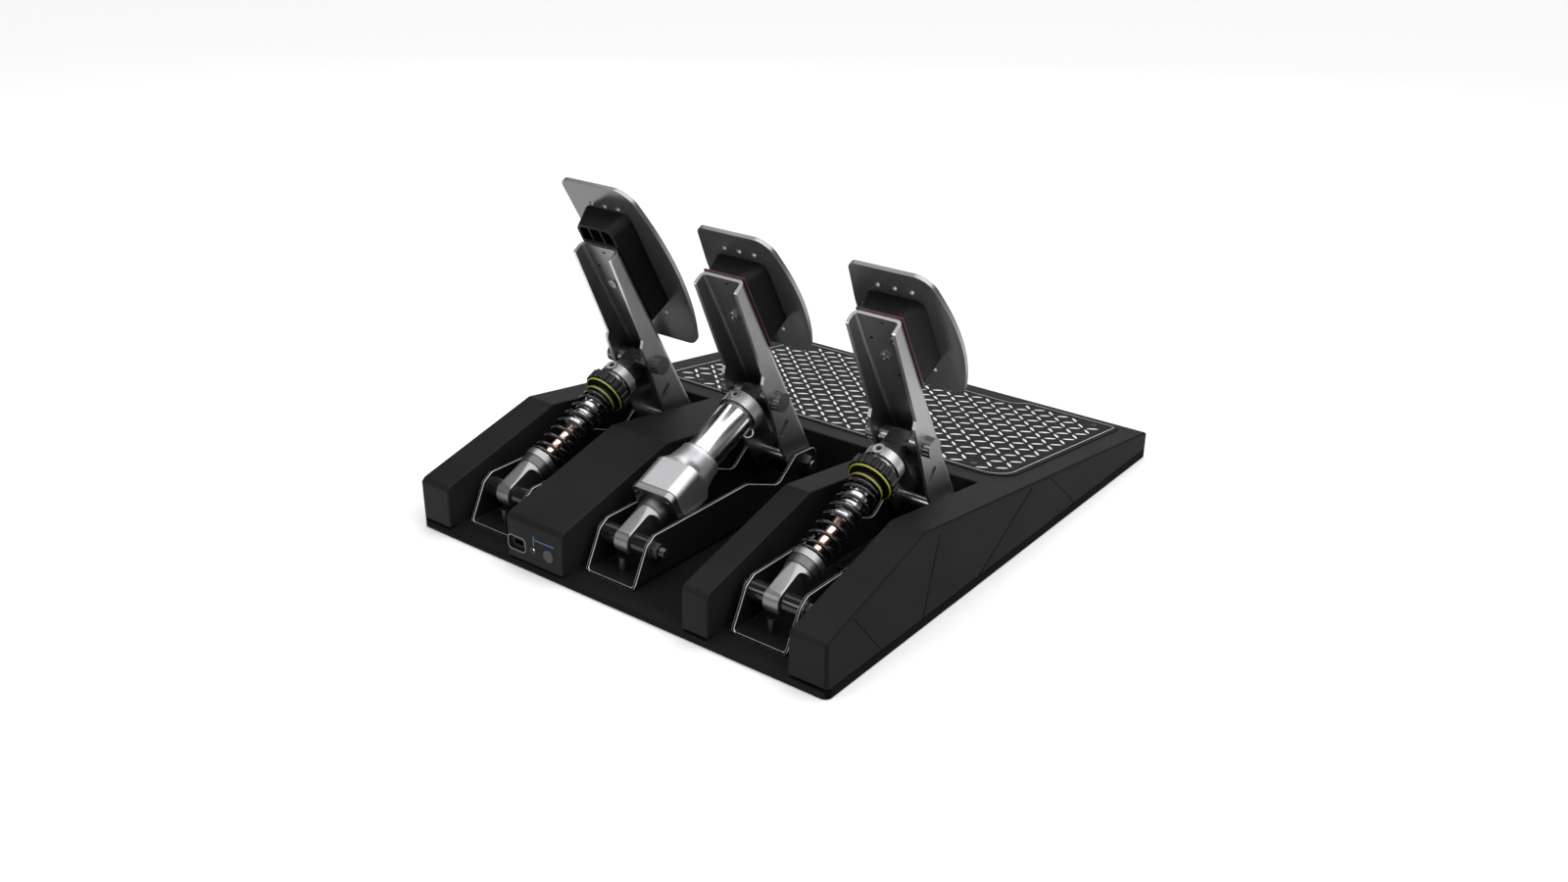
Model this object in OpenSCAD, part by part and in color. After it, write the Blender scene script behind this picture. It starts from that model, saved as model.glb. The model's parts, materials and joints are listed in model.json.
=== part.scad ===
// Three-pedal set for a driving simulator: a wedge base carries three folded
// steel pedals, two on coil-over struts and the middle one on a load-cell strut.
// Origin under the middle of the base, +X to the driver's right, -Y towards the
// driver's heels, +Z up, millimetres.

/* [Base] */
// Width of the base
base_w = 430; // [424:1:460]
// Depth of the base
base_d = 521; // [516:1:560]
// Height of the ridge tops at the front face
front_h = 45.5; // [44:0.5:54]
// Height of the ridge line
peak_h = 80.5; // [76:0.5:90]
// Place of the ridge line in front of the middle
peak_y = 133; // [120:1:145]
// Height of the heel edge
heel_h = 25; // [21:0.5:29]
// Lean of each side wall at the ridge line
side_draft = 3.2; // [1:0.1:5]
// Lean of the front faces
front_draft = 1.3; // [0.5:0.1:3]
// Wall of the top shell
shell_wall = 3; // [2.4:0.1:3.6]
// Radius of the base corners seen from above
corner_r = 6; // [5:0.5:9]
// Radius of the ridge and heel edges
edge_r = 6; // [4.5:0.5:8]
// Place of the rear end of the pedal troughs
trough_rear = 2.5; // [-4:0.5:3.5]
// Room beside the throttle bracket, driver's left
throttle_gap_l = 10.5; // [10.5:0.5:14]
// Room beside the throttle bracket, driver's right
throttle_gap_r = 7.5; // [7:0.5:9]
// Room beside the brake bracket, driver's left
brake_gap_l = 63; // [53:1:64]
// Room beside the brake bracket, driver's right
brake_gap_r = 9; // [7:0.5:11]
// Room beside the clutch bracket, driver's left
clutch_gap_l = 13; // [11:0.5:14]
// Room beside the clutch bracket, driver's right
clutch_gap_r = 9; // [7:0.5:10]

/* [Bottom tray] */
// Standing height of the rubber feet below the tray
foot_h = 0.8; // [0.6:0.1:1.4]
// Diameter of a rubber foot
foot_d = 26; // [18:1:30]
// Height of the tray's outer strip
tray_strip = 7.2; // [6.5:0.1:8]
// Reveal groove between tray and shell
groove = 0.7; // [0.5:0.1:1]
// Height of the tray floor above the strip
tray_step = 1.5; // [1.2:0.1:2]
// Thickness of the tray floor
tray_floor = 3; // [2.5:0.1:3.5]
// Spacing of the ribs under the tray
rib_pitch = 46; // [36:1:50]

/* [Heel plate] */
// Thickness of the heel plate
heel_plate_t = 1.8; // [1.4:0.1:2.4]
// Depth of its recess in the deck
heel_recess = 1; // [0.6:0.1:1.2]
// Width of the heel plate
heel_plate_w = 386; // [370:1:392]
// Gap from the trough ends to the heel plate along the slope
heel_plate_gap = 22; // [18:1:28]
// Length of the heel plate along the slope
heel_plate_len = 232; // [220:1:234]
// Depth of the notch at its heel edge
heel_notch = 14; // [8:1:18]

/* [Pedal stations] */
// Throttle pedal, distance right of the middle
throttle_x = 146; // [145:1:148]
// Brake pedal, distance right of the middle
brake_x = 10; // [8:1:12]
// Clutch pedal, distance right of the middle
clutch_x = -140; // [-142:1:-138]
// Depth place of the arm pivot
pivot_y = 20; // [19:0.5:24]
// Height of the arm pivot
pivot_z = 38; // [36:0.5:42]
// Depth place of the lower strut pin
pin_y = 219; // [215:1:222]
// Height of the lower strut pin
pin_z = 37; // [35:0.5:39]

/* [Brackets] */
// Outside width of a bracket
bracket_w = 53; // [52:0.5:54]
// Sheet thickness of a bracket
bracket_t = 2.5; // [2:0.1:3]
// Wall height above the lower pin
bracket_rise = 12; // [10:0.5:14]

/* [Pedal arms] */
// Lean of the arms from upright at rest, degrees
arm_lean = 27.9; // [25:0.1:30]
// Arm length from pivot to top
arm_len = 203; // [195:1:212]
// Outside width of an arm
arm_w = 45; // [43:0.5:45.5]
// Sheet thickness of an arm
arm_t = 3; // [2.4:0.1:3.4]
// Distance of the arm's back face behind the pivot
arm_back = 18.5; // [17.5:0.5:20]
// Distance from pivot to cross pin
cross_up = 81; // [78:0.5:84]
// Diameter of the pivot axles
axle_d = 10; // [8:0.5:11]
// Diameter of the cross pins
cross_d = 9; // [8:0.5:9.5]
// Clearance of the strut heads round the cross pins
cross_play = 1.6; // [1.5:0.05:1.8]

/* [Pedal faces] */
// Depth of the spacer blocks between arm and plate
block_depth = 20.5; // [17:0.5:25]
// Thickness of the shims behind the brake and clutch blocks
shim_t = 2; // [1:0.1:3]
// Thickness of the pedal plates
plate_t = 4; // [3:0.2:5]
// Height of the throttle plate
throttle_plate_h = 178; // [172:1:184]
// Height of the brake and clutch plates
short_plate_h = 122; // [120:1:128]
// Width of the throttle plate right of the arm's middle
throttle_plate_right = 39; // [36:0.5:42]
// Width of the brake and clutch plates right of the arm's middle
short_plate_right = 41.5; // [38:0.5:43]

/* [Coil-over struts] */
// Diameter of the lower pins
lower_pin_d = 8; // [7:0.5:9]
// Diameter of the strut eye
eye_d = 22; // [20:0.5:23]
// Width of the strut eye
eye_w = 14; // [12:0.5:16]
// Distance from lower pin to the spring cup
cup_up = 35; // [34:0.5:37]
// Thickness of the spring cup
cup_t = 6; // [5:0.5:7]
// Height of the band under the spring cup
band_t = 7.5; // [6:0.5:9]
// Diameter of the spring cup
cup_d = 29; // [28:0.5:31]
// Diameter of the copper rod
rod_d = 8.5; // [7:0.5:9]
// Outside diameter of the spring
spring_d = 29; // [28.6:0.2:30]
// Wire diameter of the spring
wire_d = 3; // [2.6:0.1:3.1]
// Turns of the spring
spring_turns = 8.5; // [7:0.5:9.5]
// Length of the spring at rest
spring_len = 79; // [77:0.5:82]
// Diameter of the strut body
strut_body_d = 21; // [20:0.2:21.4]
// Thickness of the spring seat
seat_t = 6; // [5:0.5:7]
// Diameter of the knurled collar
collar_d = 42.5; // [40:0.5:44]
// Thickness of the knurled collar
collar_t = 11; // [9:0.5:12]
// Diameter of the strut head's clamp ring
clamp_d = 34; // [32:0.5:35]
// Stroke of the coil-over struts
strut_stroke = 25; // [20:0.5:26]

/* [Brake strut] */
// Width of the load-cell housing
housing_w = 44; // [42:0.5:45]
// Depth of the load-cell housing
housing_h = 40; // [38:0.5:43]
// Length of the load-cell housing with its neck
housing_len = 54; // [50:0.5:58]
// Diameter of the chrome tube
tube_d = 32; // [30:0.5:33.5]
// Diameter of the cap ring on the tube
cap_d = 37; // [36:0.5:40]
// Stroke of the brake strut
brake_stroke = 12.6; // [10:0.2:14]

/* [Controls] */
// Height of the socket, light and button row
panel_z = 21.6; // [20:0.2:25]
// Width of the socket recess
port_w = 20; // [18:0.5:21]
// Height of the socket recess
port_h = 12.5; // [11:0.5:14]
// Diameter of the mode button
button_d = 11.5; // [9:0.5:12]
// Travel of the mode button
button_travel = 1; // [0.6:0.1:1.2]

/* [Hidden] */
$fn = 48;

// Clearances: a running fit, a gap between parts that move apart, a seat gap
fit = 0.05;
clear = 0.4;
seat_gap = 0.3;
over = 1;

// Heights of the tray and shell
tray_z = foot_h;
strip_top = tray_z + tray_strip;
floor_z = strip_top + tray_step;
floor_under = floor_z - tray_floor;
shell_z = strip_top + groove;
rib_t = 2;
rib_z = tray_z + 1;
rim_t = 4;

// Slopes of the base
heel_ang = atan2(peak_h - heel_h, peak_y + base_d / 2);
top_ang = atan2(peak_h - front_h, base_d / 2 - front_draft - peak_y);

// Pedal stations and their troughs, driver's left edge first
half_bracket = bracket_w / 2;
bracket_in = half_bracket - bracket_t;
stations = [throttle_x, brake_x, clutch_x];
troughs = [
  [throttle_x - half_bracket - throttle_gap_l, throttle_x + half_bracket + throttle_gap_r],
  [brake_x - half_bracket - brake_gap_l, brake_x + half_bracket + brake_gap_r],
  [clutch_x - half_bracket - clutch_gap_l, clutch_x + half_bracket + clutch_gap_r]
];
port_ridge = (troughs[0][0] + troughs[1][1]) / 2;
slim_ridge = (troughs[1][0] + troughs[2][1]) / 2;

// Screw posts of the shell
post_d = 10;
post_screw_d = 3.2;
post_x = base_w / 2 - 19;
post_y = base_d / 2 - 25;
posts = concat(
  [for (side = [-1, 1], y = [-post_y, 0, post_y]) [side * post_x, y]],
  [[0, -post_y], [port_ridge, peak_y], [slim_ridge, peak_y]]
);
foot_x = base_w / 2 - 45;
foot_y = base_d / 2 - 52;
feet = [for (x = [-foot_x, 0, foot_x], y = [-foot_y, foot_y]) [x, y]];
foot_sink = 1;

// Control row on the port ridge
front_y = base_d / 2 - front_draft;
wall_in = front_y - shell_wall;
port_x = port_ridge + 20.4;
light_x = port_ridge + 1.5;
button_x = port_ridge - 16;
light_d = 3;
board_y = wall_in - 12;
board_t = 1.6;

// Heel plate on its slope, with screws at four corners
heel_plate_top = -(peak_y - trough_rear) / cos(heel_ang) - heel_plate_gap;
heel_screw_d = 3;
heel_screws_at = [
  for (side = [-1, 1], place = [[40, 18], [22, heel_plate_len - 16]])
    [side * (heel_plate_w / 2 - place[0]), heel_plate_top - place[1]]
];

// Bracket outline
bracket_rear = pivot_y - 15.5;
bracket_front = pin_y + 24.5;
lug_z = pivot_z + 12.5;
bracket_screw_d = 5;
tall_screw_d = 7.5;
tall_screw_h = 13;
screw_boss_d = 13;
// Screws in a bracket's floor: a tall one in front, two under the pedal
bracket_screw_spots = [[0, pin_y + 8.5], [-12, pin_y - 100], [12, pin_y - 100]];

// Arm frame values: pivot at zero, the sheet's back face at -arm_back
block_face = -arm_back - block_depth;
shimmed_face = block_face - shim_t;
arm_bolts = [[-11, -22], [3.8, -43]];
arm_holes = [[12, -25], [-4, -62], [-3, -6]];
bolt_d = 5;
plate_screw_d = 4;
short_plate_top = 24;
long_plate_top = 47;
// Reach of the plates left of the arm's middle: top, widest place, foot
long_plate_left = [34.8, 64.5, 37.6];
short_plate_left = [36, 56.7, 39.5];
long_plate_radii = [7, 22, 225, 14, 10, 100];
short_plate_radii = [7, 19, 142, 11, 10, 100];
// Rows of three holes in the plates, and the place of their middle
long_plate_rows = [25.3, -96];
short_plate_rows = [6.5, -77];
short_row_x = -2;
hole_pitch = 15.4;
hole_d = 4.6;

// Strut line between the lower pin and the cross pin
cross_y = pivot_y + cross_up * sin(arm_lean);
cross_z = pivot_z + cross_up * cos(arm_lean);
strut_len = norm([cross_y - pin_y, cross_z - pin_z]);
strut_ang = atan2(cross_z - pin_z, pin_y - cross_y);
arm_in = arm_w / 2 - arm_t;
head_w = 2 * arm_in - 1;
head_bore_d = cross_d + 2 * cross_play;
head_d = head_bore_d + 5;
block_w = 18;

// Places along a coil-over strut, from the lower pin
cup_top = cup_up + cup_t;
seat_at = cup_top + spring_len;
collar_at = seat_at + seat_t + seat_gap;
head_at = collar_at + collar_t + 0.5;
body_at = cup_top + strut_stroke + 14;
stem_top = head_at - 2;
rod_end = stem_top - strut_stroke - 1.5;

// Places along the brake strut
end_up = 36;
brake_band_t = 8;
housing_at = end_up + 6;
housing_top = housing_at + housing_len;
cell_t = 8;
cell_top = housing_at + 1.5 * cell_t;
tube_at = cell_top + 2 * brake_stroke;
cap_at = strut_len - 27;

function unit(v) = v / norm(v);

// Arc of n steps that rounds corner b between its neighbours a and c
function corner(a, b, c, r, n = 6) =
  let (
    u = unit(a - b), w = unit(c - b), half = acos(u * w) / 2,
    m = b + unit(u + w) * r / sin(half),
    s = b + u * r / tan(half) - m, e = b + w * r / tan(half) - m,
    a0 = atan2(s[1], s[0]), a1 = atan2(e[1], e[0]),
    turn = (a1 - a0 + 540) % 360 - 180
  )
  [for (i = [0:n]) m + r * [cos(a0 + turn * i / n), sin(a0 + turn * i / n)]];

// Outline p with each corner rounded by its radius in r
function soften(p, r, n = 6) =
  let (count = len(p))
  [for (i = [0:count - 1])
    each r[i] == 0 ? [p[i]] : corner(p[(i + count - 1) % count], p[i], p[(i + 1) % count], r[i], n)];

// Outline in (Y, Z) drawn out along X, centred
module along_x(w) rotate([90, 0, 90]) linear_extrude(height = w, center = true) children();

// Outline in (X, Z) drawn out along Y, centred
module along_y(d) rotate([90, 0, 0]) linear_extrude(height = d, center = true) children();

module rod_x(d, w) rotate([0, 90, 0]) cylinder(d = d, h = w, center = true);

module round_rect(w, d, r) {
  square([w - 2 * r, d], center = true);
  square([w, d - 2 * r], center = true);
  for (x = [-1, 1], y = [-1, 1]) translate([x * (w / 2 - r), y * (d / 2 - r)]) circle(r);
}

// Screw pointing down from a head that stands on z = 0
module screw(d, len, head_d, head_h) {
  cylinder(d = head_d, h = head_h);
  translate([0, 0, -len]) cylinder(d = d, h = len + head_h / 2);
}

// Socket-head screw of the same stance
module socket_screw(d, len) {
  difference() {
    screw(d, len, 1.7 * d, d);
    translate([0, 0, d / 2]) cylinder(d = 0.9 * d, h = d, $fn = 6);
  }
}

// Side outline of the wedge, t inside its outer faces
module wedge_side(t) {
  heel_tan = tan(heel_ang);
  top_tan = tan(top_ang);
  heel_drop = t / cos(heel_ang);
  top_drop = t / cos(top_ang);
  rear = -base_d / 2 + t;
  front = base_d / 2 - t;
  peak = peak_y + (heel_drop - top_drop) / (heel_tan + top_tan);
  polygon(soften(
    [
      [rear, 0],
      [rear, heel_h - heel_drop + t * heel_tan],
      [peak, peak_h + (peak - peak_y) * heel_tan - heel_drop],
      [front - front_draft, front_h - top_drop + t * top_tan],
      [front, 0]
    ],
    [0, edge_r - t, edge_r - t, edge_r - t, 0]
  ));
}

module wedge(t) {
  w = base_w / 2 - t;
  narrow = w - 2 * side_draft;
  intersection() {
    along_x(base_w) wedge_side(t);
    along_y(base_d) polygon([[-w, 0], [w, 0], [narrow, 2 * peak_h], [-narrow, 2 * peak_h]]);
    linear_extrude(2 * peak_h) round_rect(base_w - 2 * t, base_d - 2 * t, corner_r - t);
  }
}

// One block per pedal trough, grown by t at its walls
module trough_blocks(t) {
  for (span = troughs)
    translate([span[0] - t, trough_rear - t, 0])
      cube([span[1] - span[0] + 2 * t, base_d, 2 * peak_h]);
}

module heel_frame() translate([0, peak_y, peak_h]) rotate([heel_ang, 0, 0]) children();

// Heel plate outline seen square to the slope, grown by t
module heel_outline(t) {
  w = heel_plate_w / 2 + t;
  top = heel_plate_top + t;
  low = heel_plate_top - heel_plate_len - t;
  notch = 80 - t;
  polygon(soften(
    [[-w, top], [w, top], [w, low], [notch + 13, low], [notch, low + heel_notch],
     [-notch, low + heel_notch], [-notch - 13, low], [-w, low]],
    [26, 26, 10, 4, 4, 4, 4, 10]
  ));
}

module shell_posts() {
  intersection() {
    wedge(shell_wall / 2);
    for (p = posts) translate([p[0], p[1], floor_z]) cylinder(d = post_d, h = 2 * peak_h);
  }
  for (p = heel_screws_at)
    heel_frame() translate([p[0], p[1], -9]) cylinder(d = 8, h = 9 - heel_recess);
  for (side = [-1, 1])
    translate([port_ridge + side * 23, wall_in + 0.5, panel_z + 9])
      rotate([90, 0, 0]) cylinder(d = 5, h = wall_in - board_y + 0.5);
}

// Slanting panel lines pressed into a side wall: top end, low end, width
panel_lines = [
  [[114, 71], [137, 7], 1.6], [[-32, 54], [56, 7], 1.6],
  [[229, 53], [191, 7], 0.9], [[-64, 51], [-114, 7], 0.9]
];
line_depth = 1.2;

module side_lines(side) {
  translate([side * base_w / 2, 0, 0]) rotate([0, -side * atan2(side_draft, peak_h), 0])
    for (line = panel_lines) {
      way = line[0] - line[1];
      mid = (line[0] + line[1]) / 2;
      translate([0, mid[0], mid[1]]) rotate([-atan2(way[0], way[1]), 0, 0])
        cube([2 * line_depth, line[2], norm(way)], center = true);
    }
}

module top_shell() {
  color([0.09, 0.1, 0.095])
  difference() {
    union() {
      difference() {
        wedge(0);
        difference() {
          wedge(shell_wall);
          trough_blocks(shell_wall);
        }
      }
      shell_posts();
    }
    trough_blocks(0);
    // Room for the tray below the walls and inside them
    translate([0, 0, -over]) linear_extrude(shell_z + over) square([2 * base_w, 2 * base_d], center = true);
    translate([0, 0, -over]) linear_extrude(floor_z + over)
      round_rect(base_w - 2 * shell_wall, base_d - 2 * shell_wall, corner_r - shell_wall);
    heel_frame() translate([0, 0, -heel_recess]) linear_extrude(20) heel_outline(clear);
    for (p = heel_screws_at)
      heel_frame() translate([p[0], p[1], -8]) cylinder(d = heel_screw_d + 2 * fit, h = 10);
    for (p = posts) translate([p[0], p[1], 0]) cylinder(d = post_screw_d + 2 * fit, h = floor_z + 9);
    // Socket recess and opening, light and button holes
    translate([port_x, front_y, panel_z]) {
      along_y(3) round_rect(port_w, port_h, 4);
      along_y(6 * shell_wall) round_rect(port_w - 6, port_h - 4, 1);
    }
    translate([light_x, front_y, panel_z]) rotate([90, 0, 0])
      cylinder(d = light_d + 2 * fit, h = 6 * shell_wall, center = true);
    translate([button_x, front_y, panel_z]) rotate([90, 0, 0])
      cylinder(d = button_d + 2 * seat_gap, h = 6 * shell_wall, center = true);
    for (side = [-1, 1]) side_lines(side);
  }
}

module tray_ribs() {
  in_w = base_w - 2 * rim_t;
  in_d = base_d - 2 * rim_t;
  rib_h = floor_under - rib_z + 0.5;
  for (i = [-floor(in_w / 2 / rib_pitch):floor(in_w / 2 / rib_pitch)])
    translate([i * rib_pitch - rib_t / 2, -in_d / 2 - 1, rib_z]) cube([rib_t, in_d + 2, rib_h]);
  for (i = [-floor(in_d / 2 / rib_pitch):floor(in_d / 2 / rib_pitch)])
    translate([-in_w / 2 - 1, i * rib_pitch - rib_t / 2, rib_z]) cube([in_w + 2, rib_t, rib_h]);
}

// Places of the bracket screws in plan
bracket_screws_at = [for (x = stations, p = bracket_screw_spots) [x + p[0], p[1]]];

module tray_bosses() {
  h = floor_under + 0.5;
  for (p = bracket_screws_at) translate([p[0], p[1], rib_z]) cylinder(d = screw_boss_d, h = h - rib_z);
  for (p = feet) translate([p[0], p[1], tray_z]) cylinder(d = foot_d + 6, h = h - tray_z);
  for (p = posts) translate([p[0], p[1], rib_z]) cylinder(d = screw_boss_d, h = h - rib_z);
}

module base_pan() {
  color([0.07, 0.075, 0.07])
  difference() {
    union() {
      difference() {
        union() {
          translate([0, 0, tray_z]) linear_extrude(tray_strip) round_rect(base_w, base_d, corner_r);
          inset = 2 * (shell_wall + clear);
          translate([0, 0, tray_z]) linear_extrude(floor_z - tray_z)
            round_rect(base_w - inset, base_d - inset, corner_r - inset / 2);
          for (span = troughs)
            translate([span[0] + clear, 0, tray_z])
              cube([span[1] - span[0] - 2 * clear, base_d / 2, floor_z - tray_z]);
        }
        translate([0, 0, -over]) linear_extrude(floor_under + over)
          round_rect(base_w - 2 * rim_t, base_d - 2 * rim_t, corner_r - rim_t);
      }
      tray_ribs();
      tray_bosses();
    }
    // Sloped front lip
    translate([0, base_d / 2, strip_top - 1]) along_x(2 * base_w)
      polygon([[over, -over], [over, 9], [-12, tray_step + 1]]);
    for (p = bracket_screws_at)
      translate([p[0], p[1], rib_z + 1]) cylinder(d = bracket_screw_d + 2 * fit, h = floor_z);
    for (p = feet) translate([p[0], p[1], 0]) cylinder(d = foot_d + 2 * fit, h = tray_z + foot_sink);
    for (p = posts) {
      translate([p[0], p[1], 0]) cylinder(d = post_screw_d + 1, h = 20);
      translate([p[0], p[1], 0]) cylinder(d = 8, h = floor_under);
    }
  }
}

module rubber_feet() {
  color([0.12, 0.12, 0.12])
  for (p = feet) translate([p[0], p[1], 0])
    rotate_extrude() polygon([
      [0, 0], [foot_d / 2 - foot_h / 2, 0], [foot_d / 2, foot_h / 2], [foot_d / 2, tray_z + foot_sink],
      [0, tray_z + foot_sink]
    ]);
}

module pan_screws() {
  color([0.3, 0.3, 0.31])
  for (p = posts)
    translate([p[0], p[1], floor_under]) mirror([0, 0, 1]) screw(post_screw_d, tray_floor + 8, 6.5, 1.8);
}

module heel_plate() {
  color([0.13, 0.13, 0.13])
  heel_frame() difference() {
    translate([0, 0, -heel_recess]) linear_extrude(heel_plate_t) heel_outline(0);
    for (p = heel_screws_at) translate([p[0], p[1], -heel_recess - over]) {
      cylinder(d = heel_screw_d + 0.4, h = heel_plate_t + 2 * over);
      translate([0, 0, over + heel_plate_t - 1]) cylinder(d1 = 4.4, d2 = 6.4, h = 1 + fit);
    }
  }
}

module heel_screws() {
  color([0.35, 0.35, 0.36])
  for (p = heel_screws_at) heel_frame() translate([p[0], p[1], heel_plate_t - heel_recess]) difference() {
    union() {
      translate([0, 0, -1]) cylinder(d1 = 4.2, d2 = 6.2, h = 1);
      translate([0, 0, -6.5]) cylinder(d = heel_screw_d, h = 6);
    }
    translate([0, 0, -0.7]) cylinder(d = 2, h = 2, $fn = 6);
  }
}

module usb_socket() {
  color([0.55, 0.55, 0.57])
  translate([port_x, board_y, panel_z]) difference() {
    translate([0, (wall_in - board_y) / 2 + 0.6, 0]) along_y(wall_in - board_y + 1.2)
      round_rect(port_w - 7, port_h - 5, 0.8);
    translate([0, 12, 0]) along_y(16) round_rect(port_w - 9.5, port_h - 7.5, 0.6);
  }
}

module status_light() {
  color([0.9, 0.95, 1])
  translate([light_x, board_y, panel_z]) rotate([-90, 0, 0]) {
    cylinder(d = light_d, h = front_y - board_y - light_d / 2);
    translate([0, 0, front_y - board_y - light_d / 2]) sphere(d = light_d);
  }
}

module main_board() {
  switch_gap = button_travel + seat_gap;
  color([0.05, 0.22, 0.12])
  difference() {
    union() {
      translate([port_ridge, board_y - board_t / 2, panel_z + 1]) cube([54, board_t, 23], center = true);
      translate([button_x, board_y + 1.8, panel_z]) cube([6, 4, 6], center = true);
      translate([button_x, board_y, panel_z]) rotate([-90, 0, 0]) cylinder(d = 3.4, h = 7 - switch_gap);
      translate([port_ridge + 4, board_y - board_t - 0.5, panel_z + 3]) cube([14, 1.4, 10], center = true);
    }
    for (side = [-1, 1]) translate([port_ridge + side * 23, board_y, panel_z + 9]) rotate([90, 0, 0])
      cylinder(d = 2.6, h = 6, center = true);
  }
}

module mode_button() {
  color([0.16, 0.16, 0.16])
  translate([button_x, board_y, panel_z]) rotate([-90, 0, 0]) {
    reach = front_y - board_y;
    translate([0, 0, 7]) cylinder(d = 3, h = 3);
    translate([0, 0, reach - shell_wall - seat_gap - 2.2]) cylinder(d = button_d + 3, h = 2.2);
    translate([0, 0, 9.5]) cylinder(d = button_d - 3, h = 2);
    translate([0, 0, reach - shell_wall - 1]) cylinder(d = button_d, h = shell_wall + 2.2);
  }
}

// Folded sheet section, open upwards, from its floor at zero
module fold_section(w, h, t) {
  r = 2 * t;
  difference() {
    union() {
      translate([-w / 2, r]) square([w, h]);
      translate([-w / 2 + r, 0]) square([w - 2 * r, 2 * r]);
      for (side = [-1, 1]) translate([side * (w / 2 - r), r]) circle(r);
    }
    translate([-w / 2 + t, r]) square([w - 2 * t, h + over]);
    translate([-w / 2 + r, t]) square([w - 2 * r, 2 * r]);
    for (side = [-1, 1]) translate([side * (w / 2 - r), r]) circle(r - t);
  }
}

module bracket_side() {
  rise = pin_z + bracket_rise;
  polygon(soften(
    [
      [bracket_rear, floor_z], [bracket_rear, lug_z - 1], [pivot_y + 13.5, lug_z + 1],
      [pivot_y + 39, pivot_z - 6], [pivot_y + 82, rise], [pin_y - 1, rise],
      [pin_y + 8.5, rise - 6], [bracket_front, floor_z + bracket_t], [bracket_front, floor_z]
    ],
    [0, 7, 5, 10, 8, 7, 7, 0, 0]
  ));
}

module bracket(x) {
  color([0.13, 0.13, 0.135])
  translate([x, 0, 0]) difference() {
    intersection() {
      translate([0, (bracket_rear + bracket_front) / 2, floor_z])
        along_y(bracket_front - bracket_rear) fold_section(bracket_w, 60, bracket_t);
      along_x(bracket_w) bracket_side();
    }
    translate([0, pivot_y, pivot_z]) rod_x(axle_d + 2 * fit, 2 * bracket_w);
    translate([0, pin_y, pin_z]) rod_x(lower_pin_d + 2 * fit, 2 * bracket_w);
    for (p = bracket_screw_spots) translate([p[0], p[1], floor_z - over])
      cylinder(d = bracket_screw_d + 2 * fit, h = bracket_t + 2 * over);
    // Long lightening slot in the floor
    translate([0, (bracket_screw_spots[1][1] + pivot_y) / 2, floor_z - over])
      linear_extrude(bracket_t + 2 * over) round_rect(20, 60, 8);
  }
}

module throttle_bracket() bracket(throttle_x);
module brake_bracket() bracket(brake_x);
module clutch_bracket() bracket(clutch_x);

// Tall screw under a strut eye: a socket head on a slimmer collar
module tall_screw(len) {
  collar = tall_screw_h / 3;
  difference() {
    union() {
      screw(bracket_screw_d, len, tall_screw_d - 1.5, tall_screw_h);
      translate([0, 0, collar]) cylinder(d = tall_screw_d, h = tall_screw_h - collar);
    }
    translate([0, 0, tall_screw_h - bracket_screw_d / 2])
      cylinder(d = 0.9 * bracket_screw_d, h = bracket_screw_d, $fn = 6);
  }
}

module bracket_screws() {
  depth = floor_z + bracket_t - rib_z - 1.5;
  color([0.2, 0.2, 0.2])
  for (x = stations, i = [0:2]) translate([x, 0, floor_z + bracket_t] + [each bracket_screw_spots[i], 0]) {
    if (i == 0) tall_screw(depth);
    else socket_screw(bracket_screw_d, depth);
  }
}

// Plain bolt across a bracket: head on the driver's right, thread on the left
nut_t = 7;
thread_out = 9;
brake_thread_out = 12.5;
module cross_bolt(d, head_d, head_t, out = thread_out) {
  translate([-out / 2, 0, 0]) rod_x(d, bracket_w + out);
  translate([half_bracket + head_t / 2, 0, 0]) rod_x(head_d, head_t);
}

axle_head_d = axle_d + 5;
axle_head_t = 3;

module pivot_axles() {
  color([0.55, 0.55, 0.56])
  for (x = stations) translate([x, pivot_y, pivot_z]) cross_bolt(axle_d, axle_head_d, axle_head_t);
}

module pivot_washers() {
  t = bracket_in - arm_w / 2 - seat_gap;
  color([0.85, 0.84, 0.8])
  for (x = stations, side = [-1, 1]) translate([x + side * (bracket_in - t / 2), pivot_y, pivot_z])
    difference() {
      rod_x(axle_d + 8, t);
      rod_x(axle_d + 2 * fit, t + over);
    }
}

module lower_pins() {
  color([0.2, 0.2, 0.2])
  for (x = stations) translate([x, pin_y, pin_z])
    cross_bolt(lower_pin_d, lower_pin_d + 6, 4, x == brake_x ? brake_thread_out : thread_out);
}

module lower_spacers() {
  gap = eye_w / 2 + seat_gap;
  color([0.08, 0.08, 0.08])
  for (x = stations, side = [-1, 1]) translate([x + side * (bracket_in + gap) / 2, pin_y, pin_z])
    difference() {
      rod_x(17, bracket_in - gap);
      rod_x(lower_pin_d + 2 * fit, bracket_w);
    }
}

// Hexagon nut with a flange, against the left wall of a bracket
module flange_nut(d) {
  translate([-half_bracket, 0, 0]) rotate([0, -90, 0]) difference() {
    union() {
      cylinder(d = d + 10, h = 1.6);
      cylinder(d = 1.75 * d, h = nut_t, $fn = 6);
    }
    translate([0, 0, -over]) cylinder(d = d + 2 * fit, h = nut_t + 2 * over);
  }
}

module flange_nuts() {
  color([0.12, 0.12, 0.12])
  for (x = stations) {
    translate([x, pivot_y, pivot_z]) flange_nut(axle_d);
    translate([x, pin_y, pin_z]) flange_nut(lower_pin_d);
  }
}

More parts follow.
